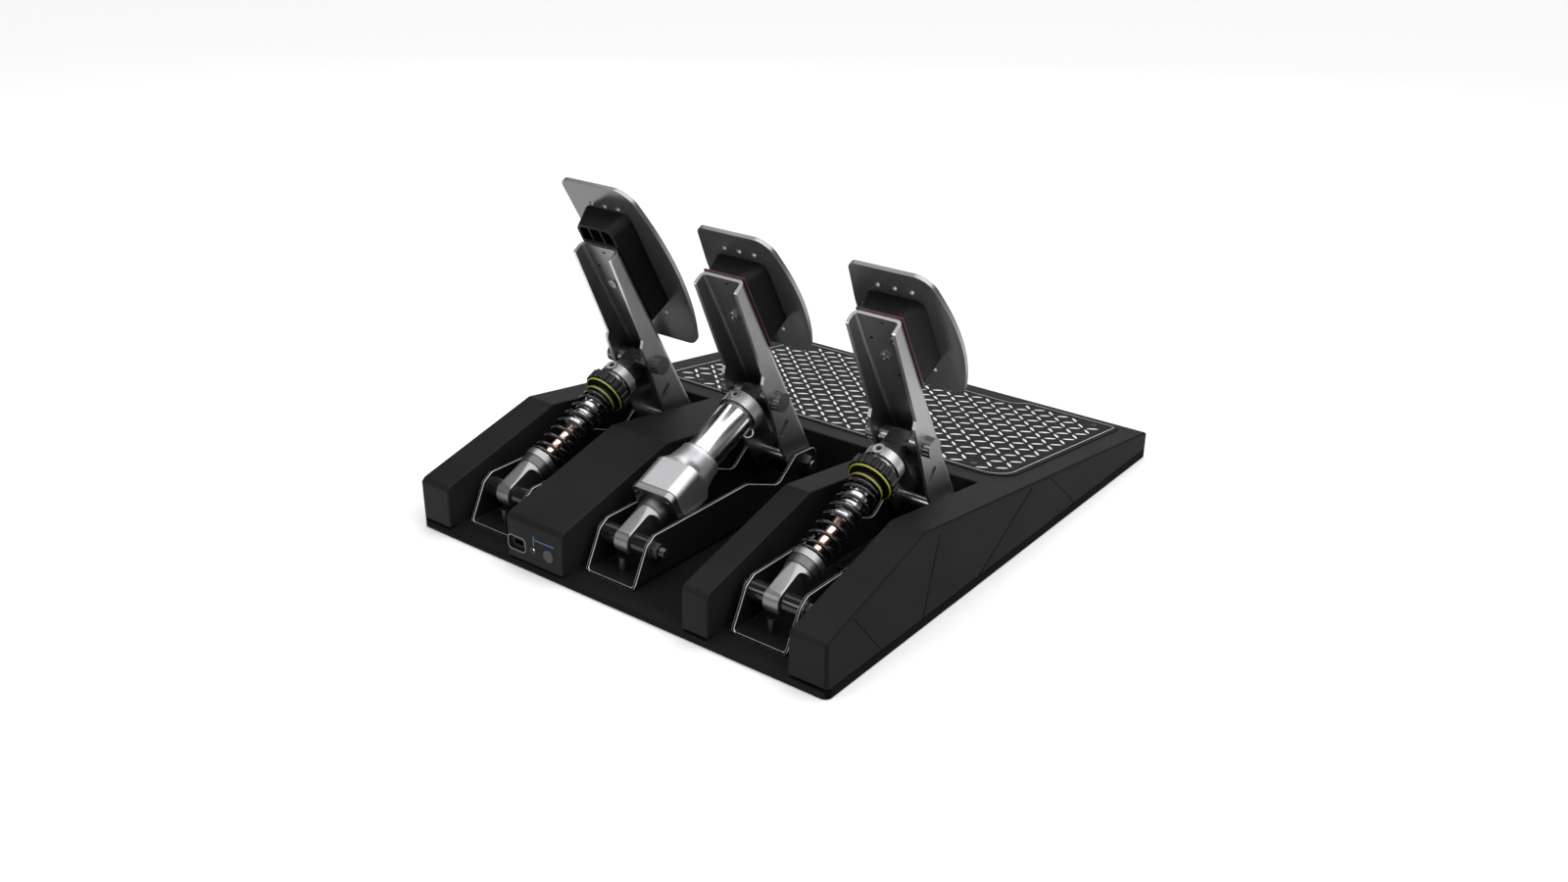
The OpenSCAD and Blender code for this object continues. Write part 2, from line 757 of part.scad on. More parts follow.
// Angle sensor capping the axle heads of throttle and clutch
module angle_sensors() {
  t = axle_head_t + 2.6;
  color([0.1, 0.1, 0.11])
  for (x = [throttle_x, clutch_x]) translate([x + half_bracket, pivot_y, pivot_z]) difference() {
    translate([t / 2, 0, 0]) {
      rod_x(axle_head_d + 8, t);
      translate([0, 0, -9]) cube([t, 16, 18], center = true);
    }
    rod_x(axle_head_d + 2 * clear, 2 * (axle_head_t + clear));
  }
}

// Arm frame of one pedal: pivot at the origin, Z up along the arm
module arm_frame(x) translate([x, pivot_y, pivot_z]) rotate([-arm_lean, 0, 0]) children();

module arm_side() {
  foot = 15;
  polygon(soften(
    [
      [-arm_back, arm_len], [13.8 - arm_back, arm_len - 1.2], [20.4 - arm_back, cross_up + 31],
      [25 - arm_back, cross_up + 26], [9.9, cross_up - 5.5], [15.7, cross_up / 2 - 4],
      [foot, 4], [foot - 4, -foot], [-foot + 4, -foot], [-arm_back, 8]
    ],
    [0, 1.5, 4, 3, 20, 20, 5, 12, 12, 10]
  ));
}

module arm(x) {
  color([0.42, 0.42, 0.43])
  arm_frame(x) difference() {
    intersection() {
      along_x(arm_w) arm_side();
      // Fold between web and flanges, open to the front
      translate([0, -arm_back, -2 * arm_len])
        linear_extrude(4 * arm_len) fold_section(arm_w, 4 * arm_back, arm_t);
    }
    // The web stops above the pivot
    translate([0, -arm_back, 0]) cube([2 * arm_in - 2 * arm_t, 4 * arm_t, 2 * 26], center = true);
    rod_x(axle_d + 2 * fit, 2 * arm_w);
    translate([0, 0, cross_up]) rod_x(cross_d + 2 * fit, 2 * arm_w);
    // Setting slot open to the front edge, driver's left flange
    translate([-arm_w / 2, -1, cross_up - 29]) rotate([-26, 0, 0]) {
      rod_x(5, 4 * arm_t);
      translate([-2 * arm_t, 0, -2.5]) cube([4 * arm_t, 11, 5]);
      translate([0, 11, 0]) rod_x(5, 4 * arm_t);
    }
    for (p = arm_bolts) translate([p[0], -arm_back, arm_len + p[1]]) rotate([90, 0, 0])
      cylinder(d = bolt_d + 2 * fit, h = 4 * arm_t, center = true);
    for (p = arm_holes) translate([p[0], -arm_back, arm_len + p[1]]) rotate([90, 0, 0])
      cylinder(d = 3.2, h = 4 * arm_t, center = true);
  }
}

module throttle_arm() arm(throttle_x);
module brake_arm() arm(brake_x);
module clutch_arm() arm(clutch_x);

// Pin through both flanges with a ribbed knob on each end
module cross_pin(x) {
  ribs = 14;
  knob_d = cross_d + 8;
  knob_t = 8;
  color([0.33, 0.33, 0.34])
  arm_frame(x) translate([0, 0, cross_up]) {
    rod_x(cross_d, arm_w);
    for (side = [-1, 1]) translate([side * arm_w / 2, 0, 0]) rotate([0, side * 90, 0]) difference() {
      cylinder(d = knob_d, h = knob_t);
      for (i = [0:ribs - 1]) rotate(360 * i / ribs) translate([knob_d / 2 + 0.5, 0, 1])
        cylinder(d = 2.4, h = knob_t - 2);
    }
  }
}

module throttle_cross_pin() cross_pin(throttle_x);
module brake_cross_pin() cross_pin(brake_x);
module clutch_cross_pin() cross_pin(clutch_x);

// Spacer block from the arm's back face to the plate: low and high ends at the
// arm, low and high ends at the plate, measured from the arm's top
block_flare = 6;
cell_wall = 2.5;
cell_depth = 11;
module pedal_block(shim, ends) {
  back = -arm_back - shim;
  half = arm_w / 2 - 1.5;
  wide = half + block_flare;
  roof = ends[1] - cell_wall;
  color([0.06, 0.06, 0.06])
  difference() {
    intersection() {
      translate([0, 0, arm_len]) along_x(2 * arm_w) polygon([
        [back, ends[0]], [back, ends[1]], [back - block_depth, ends[3]], [back - block_depth, ends[2]]
      ]);
      linear_extrude(2 * arm_len) polygon([
        [-half, back], [half, back], [wide, back - block_depth], [-wide, back - block_depth]
      ]);
    }
    for (p = arm_bolts) translate([p[0], back + over, arm_len + p[1]]) rotate([90, 0, 0])
      cylinder(d = bolt_d + 2 * fit, h = 10 + over);
    for (p = plate_screws_at(ends)) translate([p[0], back - block_depth - over, p[1]]) rotate([-90, 0, 0])
      cylinder(d = plate_screw_d + 2 * fit, h = 9 + over);
    // Open cells above the arm's top edge
    if (roof > 2 * cell_wall) for (i = [-1:1])
      translate([13 * i, back + (over - cell_depth) / 2, arm_len]) along_y(cell_depth + over)
        polygon(soften(
          [[-5.5, cell_wall], [5.5, cell_wall], [5.5, roof], [-5.5, roof]],
          [0, 0, i > 0 ? 6 : 0, i < 0 ? 6 : 0]
        ));
  }
}

throttle_ends = [-89, 19.5, -83, 22];
short_ends = [-75.5, 1, -67, -1];

// Plate screws in a block, as [x, height along the arm]
function plate_screws_at(ends) =
  [for (side = [-1, 1], z = [ends[2] + 18, ends[3] - 14]) [side * 14, arm_len + z]];

module throttle_block() arm_frame(throttle_x) pedal_block(0, throttle_ends);
module brake_block() arm_frame(brake_x) pedal_block(shim_t, short_ends);
module clutch_block() arm_frame(clutch_x) pedal_block(shim_t, short_ends);

module shim(x) {
  color([0.28, 0.03, 0.05])
  arm_frame(x) difference() {
    translate([0, -arm_back - shim_t / 2, arm_len + (short_ends[0] + short_ends[1]) / 2])
      cube([arm_w - 3, shim_t, short_ends[1] - short_ends[0]], center = true);
    for (p = arm_bolts) translate([p[0], -arm_back, arm_len + p[1]]) rotate([90, 0, 0])
      cylinder(d = bolt_d + 2 * fit, h = 4 * shim_t + over, center = true);
  }
}

module brake_shim() shim(brake_x);
module clutch_shim() shim(clutch_x);

// Pedal plate on the plane face, from its top edge down: right and left hold its
// reach at the top, at the widest place and at the foot
module pedal_plate(face, top, h, right, left, radii, ends, rows, row_x) {
  low = top - h;
  color([0.62, 0.62, 0.63])
  translate([0, face - plate_t / 2, arm_len]) difference() {
    along_y(plate_t) polygon(soften(
      [[right[0], top], [-left[0], top], [-left[1], top - 0.52 * h],
       [-left[2], low], [right[2], low], [right[1], top - 0.36 * h]],
      radii, 10
    ));
    for (z = rows, i = [-1:1]) translate([row_x + hole_pitch * i, 0, z]) rotate([90, 0, 0])
      cylinder(d = hole_d, h = 3 * plate_t, center = true);
    for (p = plate_screws_at(ends)) translate([p[0], plate_t / 2, p[1] - arm_len]) rotate([90, 0, 0]) {
      translate([0, 0, -over]) cylinder(d = plate_screw_d + 2 * fit, h = plate_t + 2 * over);
      translate([0, 0, plate_t - 2]) cylinder(d = 8 + 2 * fit, h = 2 + over);
    }
  }
}

module throttle_plate()
  arm_frame(throttle_x) pedal_plate(
    block_face, long_plate_top, throttle_plate_h,
    [for (more = [3.3, 0, -7]) throttle_plate_right + more], long_plate_left, long_plate_radii,
    throttle_ends, long_plate_rows, 0
  );
module short_plate(x)
  arm_frame(x) pedal_plate(
    shimmed_face, short_plate_top, short_plate_h,
    [for (more = [-5.3, 0, -4]) short_plate_right + more], short_plate_left, short_plate_radii,
    short_ends, short_plate_rows, short_row_x
  );
module brake_plate() short_plate(brake_x);
module clutch_plate() short_plate(clutch_x);

// Screws of one pedal: two through the web into the block, four through the plate
module pedal_screws(x, shim, ends) {
  color([0.6, 0.6, 0.6])
  arm_frame(x) {
    for (p = arm_bolts) translate([p[0], arm_t - arm_back, arm_len + p[1]]) rotate([-90, 0, 0])
      difference() {
        screw(bolt_d, arm_t + shim + 9, 9, 2.4);
        translate([0, 0, 1]) cylinder(d = 3, h = 3, $fn = 6);
      }
    for (p = plate_screws_at(ends)) translate([p[0], -arm_back - shim - block_depth - plate_t + 2, p[1]])
      rotate([90, 0, 0]) difference() {
        screw(plate_screw_d, plate_t + 5, 8, 1.8);
        translate([0, 0, 0.7]) cylinder(d = 2.6, h = 3, $fn = 6);
      }
  }
}

module throttle_screws() pedal_screws(throttle_x, 0, throttle_ends);
module brake_screws() pedal_screws(brake_x, shim_t, short_ends);
module clutch_screws() pedal_screws(clutch_x, shim_t, short_ends);

// Strut frame: lower pin at the origin, Z along the strut, Y square to it upwards
module strut_frame(x) translate([x, pin_y, pin_z]) rotate([90 - strut_ang, 0, 0]) children();

// Eye tongue round the lower pin: a turned neck of diameter w up to height top,
// milled flat on both sides with arched run-outs under a web
eye_web = 3;
module eye_tongue(top, w) {
  flare = (w - eye_w) / 2;
  arch = top - eye_web;
  intersection() {
    along_y(2 * w) polygon(concat(
      [[-eye_w / 2, -eye_d], [eye_w / 2, -eye_d]],
      [for (i = [0:6]) [w / 2 - flare * cos(15 * i), arch - flare + flare * sin(15 * i)]],
      [[w / 2, top], [-w / 2, top]],
      [for (i = [6:-1:0]) [flare * cos(15 * i) - w / 2, arch - flare + flare * sin(15 * i)]]
    ));
    union() {
      rod_x(eye_d, 2 * w);
      along_x(2 * w) polygon([[-eye_d / 2, 0], [eye_d / 2, 0], [w / 2, top], [-w / 2, top]]);
    }
    translate([0, 0, -eye_d]) cylinder(d = w, h = top + eye_d);
  }
}

eye_neck_d = cup_d - 4;
band_d = cup_d - 1.5;

module coil_eye(x) {
  color([0.5, 0.5, 0.5])
  strut_frame(x) difference() {
    union() {
      eye_tongue(cup_up - band_t, eye_neck_d);
      translate([0, 0, cup_up - band_t]) cylinder(d = band_d, h = band_t);
      translate([0, 0, cup_up]) cylinder(d = cup_d, h = cup_t);
    }
    rod_x(lower_pin_d + 2 * fit, 2 * cup_d);
    translate([0, 0, cup_up + 2]) cylinder(d = rod_d + 2 * fit, h = cup_t);
  }
}

module throttle_eye() coil_eye(throttle_x);
module clutch_eye() coil_eye(clutch_x);

module strut_rod(x) {
  color([0.78, 0.5, 0.38])
  strut_frame(x) translate([0, 0, cup_up + 2]) cylinder(d = rod_d, h = rod_end - cup_up - 2);
}

module throttle_rod() strut_rod(throttle_x);
module clutch_rod() strut_rod(clutch_x);

// Spring wire: straight out of each seat for one wire diameter, a helix between
coil_steps = 14;
coil_sides = 6;
coil_r = (spring_d - wire_d) / 2;
coil_low = cup_top;
coil_high = seat_at - seat_gap;
coil_count = round(spring_turns * coil_steps);
coil_rise = coil_high - coil_low - 2 * wire_d;
coil_end = 360 * spring_turns;
function coil_at(i) =
  let (a = coil_end * i / coil_count)
  [coil_r * cos(a), coil_r * sin(a), coil_low + wire_d + coil_rise * i / coil_count];
coil_path = concat(
  [[coil_r, 0, coil_low]],
  [for (i = [0:coil_count]) coil_at(i)],
  [[coil_r * cos(coil_end), coil_r * sin(coil_end), coil_high]]
);
coil_last = len(coil_path) - 1;
function coil_way(i) =
  i == 0 || i == coil_last ? [0, 0, 1]
  : unit(unit(coil_path[i] - coil_path[i - 1]) + unit(coil_path[i + 1] - coil_path[i]));
function coil_ring(i) =
  let (
    p = coil_path[i], t = coil_way(i),
    b = unit(cross(t, [p[0], p[1], 0])), n = cross(b, t)
  )
  [for (k = [0:coil_sides - 1])
    p + wire_d / 2 * (cos(360 * k / coil_sides) * n + sin(360 * k / coil_sides) * b)];
coil_gap = min([
  for (i = [0:coil_last], j = [i + 5:1:coil_last]) norm(coil_path[i] - coil_path[j])
]) - wire_d;
echo(least_gap_between_spring_turns = coil_gap);

module strut_spring(x) {
  s = coil_sides;
  color([0.1, 0.1, 0.1])
  strut_frame(x) polyhedron(
    points = [for (i = [0:coil_last]) each coil_ring(i)],
    faces = concat(
      [for (k = [1:s - 2]) [0, k, k + 1]],
      [for (i = [0:coil_last - 1], k = [0:s - 1], half = [0, 1])
        let (a = i * s + k, b = i * s + (k + 1) % s)
        half == 0 ? [a, a + s, b] : [b, a + s, b + s]],
      [for (k = [1:s - 2]) [coil_last * s, coil_last * s + k + 1, coil_last * s + k]]
    )
  );
}

module throttle_spring() strut_spring(throttle_x);
module clutch_spring() strut_spring(clutch_x);

// Strut body: ringed barrel inside the spring, threaded stem through the collar
module strut_body(x) {
  r = strut_body_d / 2;
  bore = rod_d / 2 + fit;
  ring = 7.5;
  color([0.7, 0.7, 0.71])
  strut_frame(x) rotate_extrude() polygon(concat(
    [[bore, body_at], [r - 1, body_at]],
    [for (i = [0:3]) each [
      [r, body_at + 1 + i * ring], [r, body_at + 5.5 + i * ring],
      [r - 1.6, body_at + 6 + i * ring], [r - 1.6, body_at + 8 + i * ring]
    ]],
    [[r, body_at + 33], [r, head_at + 6], [0, head_at + 6], [0, stem_top], [bore, stem_top]]
  ));
}

module throttle_body() strut_body(throttle_x);
module clutch_body() strut_body(clutch_x);

module spring_seat(x) {
  color([0.62, 0.62, 0.1])
  strut_frame(x) translate([0, 0, seat_at]) difference() {
    union() {
      cylinder(d = spring_d + 1, h = 2);
      cylinder(d = strut_body_d + 5, h = seat_t);
    }
    translate([0, 0, -over]) cylinder(d = strut_body_d + 2 * fit, h = seat_t + 2 * over);
  }
}

module throttle_seat() spring_seat(throttle_x);
module clutch_seat() spring_seat(clutch_x);

module collar(x) {
  teeth = 20;
  rim = 2.2;
  color([0.08, 0.08, 0.08])
  strut_frame(x) translate([0, 0, collar_at]) difference() {
    union() {
      cylinder(d = collar_d - 4.5, h = rim);
      translate([0, 0, rim]) cylinder(d = collar_d, h = collar_t - rim);
    }
    for (i = [0:teeth - 1]) rotate(360 * (i + 0.5) / teeth) translate([collar_d / 2 + 0.4, 0, rim / 2])
      cylinder(d = 3.6, h = collar_t);
    translate([0, 0, -over]) cylinder(d = strut_body_d + 2 * fit, h = collar_t + 2 * over);
  }
}

module throttle_collar() collar(throttle_x);
module clutch_collar() collar(clutch_x);

// T-shaped strut head: rings stacked up from height low as [diameter, height],
// a round boss with a set screw hole on the last one, then block and cross tube
module strut_head(low, rings, stem_d, set_d) {
  function up(i) = i == 0 ? 0 : up(i - 1) + rings[i - 1][1];
  last = rings[len(rings) - 1];
  top = low + up(len(rings));
  difference() {
    union() {
      for (i = [0:len(rings) - 1]) translate([0, 0, low + up(i)]) cylinder(d = rings[i][0], h = rings[i][1]);
      translate([0, 0, top - last[1] / 2]) rotate([-90, 0, 0]) cylinder(d = 2 * set_d, h = last[0] / 2 + 1.2);
      translate([-block_w / 2, -head_d / 2, top - over]) cube([block_w, head_d, strut_len - top + over]);
      translate([0, 0, strut_len]) {
        rod_x(head_d, block_w);
        rod_x(head_bore_d + 3.4, head_w);
      }
    }
    translate([0, 0, low - over]) cylinder(d = stem_d + 2 * fit, h = 6 + over);
    translate([0, 0, strut_len]) rod_x(head_bore_d, 2 * head_w);
    translate([0, last[0] / 2 - 2, top - last[1] / 2]) rotate([-90, 0, 0]) cylinder(d = set_d, h = 8);
  }
}

module coil_head(x) {
  color([0.4, 0.4, 0.4])
  strut_frame(x) strut_head(
    head_at, [[strut_body_d + 5, 2], [clamp_d - 4, 2.7], [clamp_d - 6, 0.6], [clamp_d, 8.5]],
    strut_body_d, 5
  );
}

module throttle_head() coil_head(throttle_x);
module clutch_head() coil_head(clutch_x);

// Brake strut: the same eye and band, then the end plate, the housing and its tube
module brake_eye() {
  color([0.55, 0.55, 0.55])
  strut_frame(brake_x) difference() {
    union() {
      eye_tongue(end_up - brake_band_t, eye_neck_d);
      translate([0, 0, end_up - brake_band_t]) cylinder(d = band_d, h = brake_band_t);
    }
    rod_x(lower_pin_d + 2 * fit, 2 * cup_d);
  }
}

module brake_end_plate() {
  color([0.38, 0.38, 0.38])
  strut_frame(brake_x) translate([0, 0, end_up]) linear_extrude(housing_at - end_up)
    round_rect(housing_w, housing_h, 7);
}

module brake_housing() {
  neck = 10;
  shoulder = 12;
  neck_d = tube_d + 8;
  box_len = housing_len - neck - shoulder;
  color([0.72, 0.72, 0.72])
  strut_frame(brake_x) translate([0, 0, housing_at]) difference() {
    intersection() {
      union() {
        linear_extrude(box_len + shoulder) round_rect(housing_w, housing_h, 9);
        cylinder(d = neck_d, h = housing_len);
      }
      rotate_extrude() polygon([
        [0, 0], [40, 0], [40, box_len - 10], [neck_d / 2, box_len + shoulder],
        [neck_d / 2, housing_len - 1], [neck_d / 2 - 1, housing_len], [0, housing_len]
      ]);
    }
    translate([0, 0, cell_t / 2]) cylinder(d = tube_d + 2 * fit, h = housing_len);
  }
}

module brake_load_cell() {
  color([0.6, 0.6, 0.58])
  strut_frame(brake_x) translate([0, 0, housing_at + cell_t / 2]) {
    cylinder(d = tube_d - 3, h = cell_t / 2);
    cylinder(d = tube_d / 2, h = cell_t);
  }
}

module brake_elastomer() {
  color([0.25, 0.08, 0.08])
  strut_frame(brake_x) translate([0, 0, cell_top]) rotate_extrude() {
    h = (tube_at - seat_gap - cell_top) / 2;
    r = tube_d / 2 - 4;
    for (i = [0, 1]) translate([0, i * h]) polygon([[0, 0], [r - 2, 0], [r, h / 2], [r - 2, h], [0, h]]);
  }
}

module brake_tube() {
  color([0.85, 0.85, 0.86])
  strut_frame(brake_x) translate([0, 0, tube_at]) difference() {
    cylinder(d = tube_d, h = cap_at + 6 - tube_at);
    translate([0, 0, 5]) cylinder(d = tube_d - 5, h = cap_at);
  }
}

module brake_head() {
  color([0.45, 0.45, 0.45])
  strut_frame(brake_x) strut_head(cap_at, [[cap_d, 12]], tube_d, 4);
}

top_shell();
base_pan();
heel_plate();
heel_screws();
rubber_feet();
pan_screws();
usb_socket();
status_light();
main_board();
mode_button();
bracket_screws();
throttle_bracket();
brake_bracket();
clutch_bracket();
pivot_axles();
pivot_washers();
lower_pins();
lower_spacers();
flange_nuts();
angle_sensors();
throttle_arm();
throttle_block();
throttle_plate();
throttle_screws();
throttle_cross_pin();
brake_arm();
brake_shim();
brake_block();
brake_plate();
brake_screws();
brake_cross_pin();
clutch_arm();
clutch_shim();
clutch_block();
clutch_plate();
clutch_screws();
clutch_cross_pin();
throttle_eye();
throttle_rod();
throttle_spring();
throttle_body();
throttle_seat();
throttle_collar();
throttle_head();
clutch_eye();
clutch_rod();
clutch_spring();
clutch_body();
clutch_seat();
clutch_collar();
clutch_head();
brake_eye();
brake_end_plate();
brake_housing();
brake_load_cell();
brake_elastomer();
brake_tube();
brake_head();
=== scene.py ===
# Dressed model of a three-pedal set for a driving simulator, in metres
import json
import math

import bmesh
import bpy
from mathutils import Matrix, Vector

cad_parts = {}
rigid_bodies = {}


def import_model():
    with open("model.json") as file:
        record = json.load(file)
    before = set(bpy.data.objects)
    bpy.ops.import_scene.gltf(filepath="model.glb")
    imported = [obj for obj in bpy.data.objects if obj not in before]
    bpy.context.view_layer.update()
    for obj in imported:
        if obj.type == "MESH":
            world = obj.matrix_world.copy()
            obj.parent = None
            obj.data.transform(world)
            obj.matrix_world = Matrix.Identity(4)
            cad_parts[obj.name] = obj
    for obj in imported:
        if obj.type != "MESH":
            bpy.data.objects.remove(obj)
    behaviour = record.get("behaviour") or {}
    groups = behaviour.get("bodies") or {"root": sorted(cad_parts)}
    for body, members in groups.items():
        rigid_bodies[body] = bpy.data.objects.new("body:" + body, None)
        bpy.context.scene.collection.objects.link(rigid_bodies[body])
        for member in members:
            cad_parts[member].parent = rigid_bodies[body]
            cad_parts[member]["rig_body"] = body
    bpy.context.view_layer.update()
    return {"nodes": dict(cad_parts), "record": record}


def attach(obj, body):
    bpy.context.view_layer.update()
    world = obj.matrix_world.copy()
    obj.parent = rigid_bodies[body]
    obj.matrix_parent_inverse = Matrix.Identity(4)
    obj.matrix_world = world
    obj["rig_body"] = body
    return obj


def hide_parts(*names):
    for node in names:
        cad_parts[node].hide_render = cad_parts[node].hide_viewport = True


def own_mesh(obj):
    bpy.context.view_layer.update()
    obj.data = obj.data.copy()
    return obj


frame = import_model()
cad = frame["nodes"]

MM = 0.001
QUARTER_TURN, HALF_TURN, FULL_TURN = math.pi / 2, math.pi, 2 * math.pi

# Places shared with the solids, in millimetres as all sizes below
STATIONS = {"throttle": 146.0, "brake": 10.0, "clutch": -140.0}
COIL_PEDALS = ("throttle", "clutch")
PIVOT_Y, PIVOT_Z = 20.0, 38.0
PIN_Y, PIN_Z = 219.0, 37.0
ARM_LEAN, ARM_LEN = math.radians(27.9), 203.0
CROSS_UP = 81.0
CROSS_Y = PIVOT_Y + CROSS_UP * math.sin(ARM_LEAN)
CROSS_Z = PIVOT_Z + CROSS_UP * math.cos(ARM_LEAN)
STRUT_TILT = math.atan2(CROSS_Z - PIN_Z, PIN_Y - CROSS_Y)
PEAK_Y, PEAK_H, HEEL_H, HALF_DEPTH = 133.0, 80.5, 25.0, 260.5
HEEL_TILT = math.atan2(PEAK_H - HEEL_H, PEAK_Y + HALF_DEPTH)
TROUGH_REAR, HEEL_PLATE_BACK = 2.5, 22.0
HEEL_PLATE_TOP = -(PEAK_Y - TROUGH_REAR) / math.cos(HEEL_TILT) - HEEL_PLATE_BACK
HEEL_PLATE_W, HEEL_PLATE_LEN, HEEL_NOTCH = 386.0, 232.0, 14.0
HEEL_PLATE_LOW = HEEL_PLATE_TOP - HEEL_PLATE_LEN
HEEL_SURFACE = 0.8
FRONT_Y, FRONT_LEAN, PANEL_Z = 259.88, math.atan2(1.3, 45.5), 21.6
PORT_RIDGE, PORT_X, LIGHT_X = 77.25, 97.65, 78.75

# Limits that pick edges and faces of the base
DECK_Y, DECK_HALF_W = (-250.0, -8.0), 204.0
PANEL_EDGE_Y, PANEL_HALF_W = 255.0, 30.0
HEEL_FACE_Y, FRONT_FACE_Y = -248.0, 246.0
SHELL_SIDE_X, TRAY_SIDE_X, TRAY_FLOOR_Z = 207.0, 210.0, 7.4
GROOVE_X, GROOVE_Y, GROOVE_Z = 205.0, (227.0, 231.0), (50.0, 55.0)
GROOVE_SHIFT = (0.1, -2.1, -2.5)

# Heel plate: outline, pale line, screws and lozenges
NOTCH_HALF_W, NOTCH_SLOPE = 80.0, 13.0
TOP_CORNER, LOW_CORNER, NOTCH_CORNER = 26, 10, 4
LINE_MARGIN, LINE_W, LINE_T, LINE_SUNK = 4.5, 0.5, 0.25, 0.05
HEEL_SCREWS = ((40, 18), (22, HEEL_PLATE_LEN - 16))
LOZENGE_PITCH, LOZENGE_SIZE, LOZENGE_TOP, LOZENGE_LIFT = 12.6, (6.5, 1.55, 0.4), 0.55, 0.13
LOZENGE_ROWS, LOZENGE_COLUMNS, FIRST_ROW = range(18), range(-14, 15), 13.0
BARE_EDGE, BARE_NOTCH, BARE_SCREW, BARE_CORNER = 10, 100, 9.5, (172, 18)

# Marks on the front: ring width, height, corner and line, then places and sizes of the two lines
PORT_FRAME, LIGHT_RING = (21.0, 13.4, 4.4, 0.75), (5.6, 5.6, 2.79, 0.9)
RING_T, RING_SUNK, STRIP_T, STRIP_EDGE = 0.5, 0.3, 0.4, 0.12
BUTTON_LINE_AT, BUTTON_LINE = (65.5, PANEL_Z + 9.8), (22.0, 1.1)
LIGHT_LINE_AT, LIGHT_LINE = (LIGHT_X - 0.9, PANEL_Z + 8.6), (0.6, 9.0)

# Threads: outer side of the cheek, height of the nut and pitch, then radii and pin lengths outside the cheek
CHEEK_X, NUT_H, THREAD_PITCH = 26.5, 7.0, 1.0
PIN_R, AXLE_R, PIN_END, BRAKE_PIN_END = 4.0, 5.0, 9.0, 12.5

# Pedal arms, blocks and plates
# Length from the arm's top whose cut edges take the strong painted highlight, and the facing past which a face
# inside the fold takes painted shade
HIGHLIGHT_TOP, SHADE_FACING = 18.0, 0.6
ARM_SHEET, PLATE_SHEET = 3.4, 4.4
BLOCK_CORNER, BLOCK_EDGE, BLOCK_FACING = 8.0, 20.0, 0.85

# Places along the struts from the lower pin
CUP_TOP, SEAT_AT, COLLAR_AT = 41.0, 120.0, 126.3
SPRING_D, WIRE_D, SPRING_TURNS = 29.0, 3.0, 8.5
CLOSED_TURNS, CLOSED_RISE, SPRING_LIFT = 0.8, 2.4, 0.05
WIRE_SIDES, COIL_STEPS = 14, 40
STRUT_STROKE, PRELOAD_ROOM = 25.0, 1.15
SLEEVE_R = 13.4
CELL_TOP, ELASTOMER_TOP, BRAKE_STROKE = 54.0, 78.9, 12.6
ELASTOMER_R, ELASTOMER_BORE, ELASTOMER_GAP = 12.0, 0.8, 0.1
RING_PLACES = (147.0, 148.7)

# Rings of the struts with another finish, the eye's band a darker copy that paints shade: lower and upper end, and
# least radius
EYE_BAND, BRAKE_EYE_BAND = (27.3, 35.0, 12.6), (27.8, 36.5, 12.6)
HEAD_CAP, BRAKE_HEAD_CAP = (142.5, 152.0, 14.5), (149.0, 162.2, 15.8)

# Set screws of the caps: place along the strut, height of the top over it and radius
SET_SCREW, BRAKE_SET_SCREW = (147.35, 17.3, 2.4), (155.7, 18.6, 1.95)
SET_SCREW_LEN, SET_SCREW_SOCKET, SET_SCREW_HEX = 2.0, 1.4, 0.55

# Foot screws of the brake: places across the strut, along it, then radius, length, hexagon and its depth
FOOT_SCREW_X, FOOT_SCREW_Y, FOOT_SCREW_AT = 16.5, 13, 34.2
FOOT_SCREW = (2.6, 2.0, 1.4, 1.2)

# Clip on the brake tube: wire and bend radius, start and arc of the bend, direction and place on the tube
CLIP_WIRE_R, CLIP_BEND_R, CLIP_WIRE_SIDES, CLIP_STEPS = 1.0, 5.2, 12, 20
CLIP_START, CLIP_ARC = math.radians(-100), math.radians(190)
CLIP_OUT, CLIP_REACH, CLIP_AT = (-0.745, -0.667, 0.0), 15.4, 143.6

# Brake housing: half sizes, then rings of height, share of the round, round radius and scale of the flat outline
HOUSING_HALF_W, HOUSING_HALF_H, HOUSING_CORNER, HOUSING_SIDES = 22.0, 20.0, 9.0, 160
HOUSING_RINGS = (
    (42.0, 0.0, 0.0, 0.955), (42.3, 0.0, 0.0, 0.98), (42.9, 0.0, 0.0, 1.0), (71.9, 0.0, 0.0, 1.0),
    (72.4, 0.15, 21.2, 1.0), (73.6, 0.35, 21.4, 1.0), (75.4, 0.65, 21.2, 1.0), (77.6, 0.9, 20.9, 1.0),
    (80.0, 1.0, 20.5, 1.0), (84.0, 1.0, 19.7, 1.0), (88.0, 1.0, 18.9, 1.0), (91.6, 1.0, 18.2, 1.0),
    (93.0, 1.0, 18.3, 1.0), (94.9, 1.0, 18.2, 1.0), (95.7, 1.0, 17.8, 1.0), (96.0, 1.0, 17.2, 1.0),
    (96.0, 1.0, 16.2, 1.0), (46.0, 1.0, 16.2, 1.0),
)

# Angles in degrees that count as an edge, as flat and as a sharp shading edge
EDGE_ANGLE, FLAT_ANGLE = 30.0, 0.4
SOFT_SHADING, FIRM_SHADING = 50.0, 30.0
MERGE_DIST = 0.002


def strut_place(x):
    """Lower pin at the origin, Z along the strut, Y square to it upwards."""
    turn = Matrix.Rotation(QUARTER_TURN - STRUT_TILT, 4, "X")
    return Matrix.Translation((x * MM, PIN_Y * MM, PIN_Z * MM)) @ turn


def arm_place(x):
    """Pivot at the origin, Z up along the arm."""
    return Matrix.Translation((x * MM, PIVOT_Y * MM, PIVOT_Z * MM)) @ Matrix.Rotation(-ARM_LEAN, 4, "X")


def heel_place():
    """Ridge line at the origin, Z square to the heel deck."""
    return Matrix.Translation((0, PEAK_Y * MM, PEAK_H * MM)) @ Matrix.Rotation(HEEL_TILT, 4, "X")


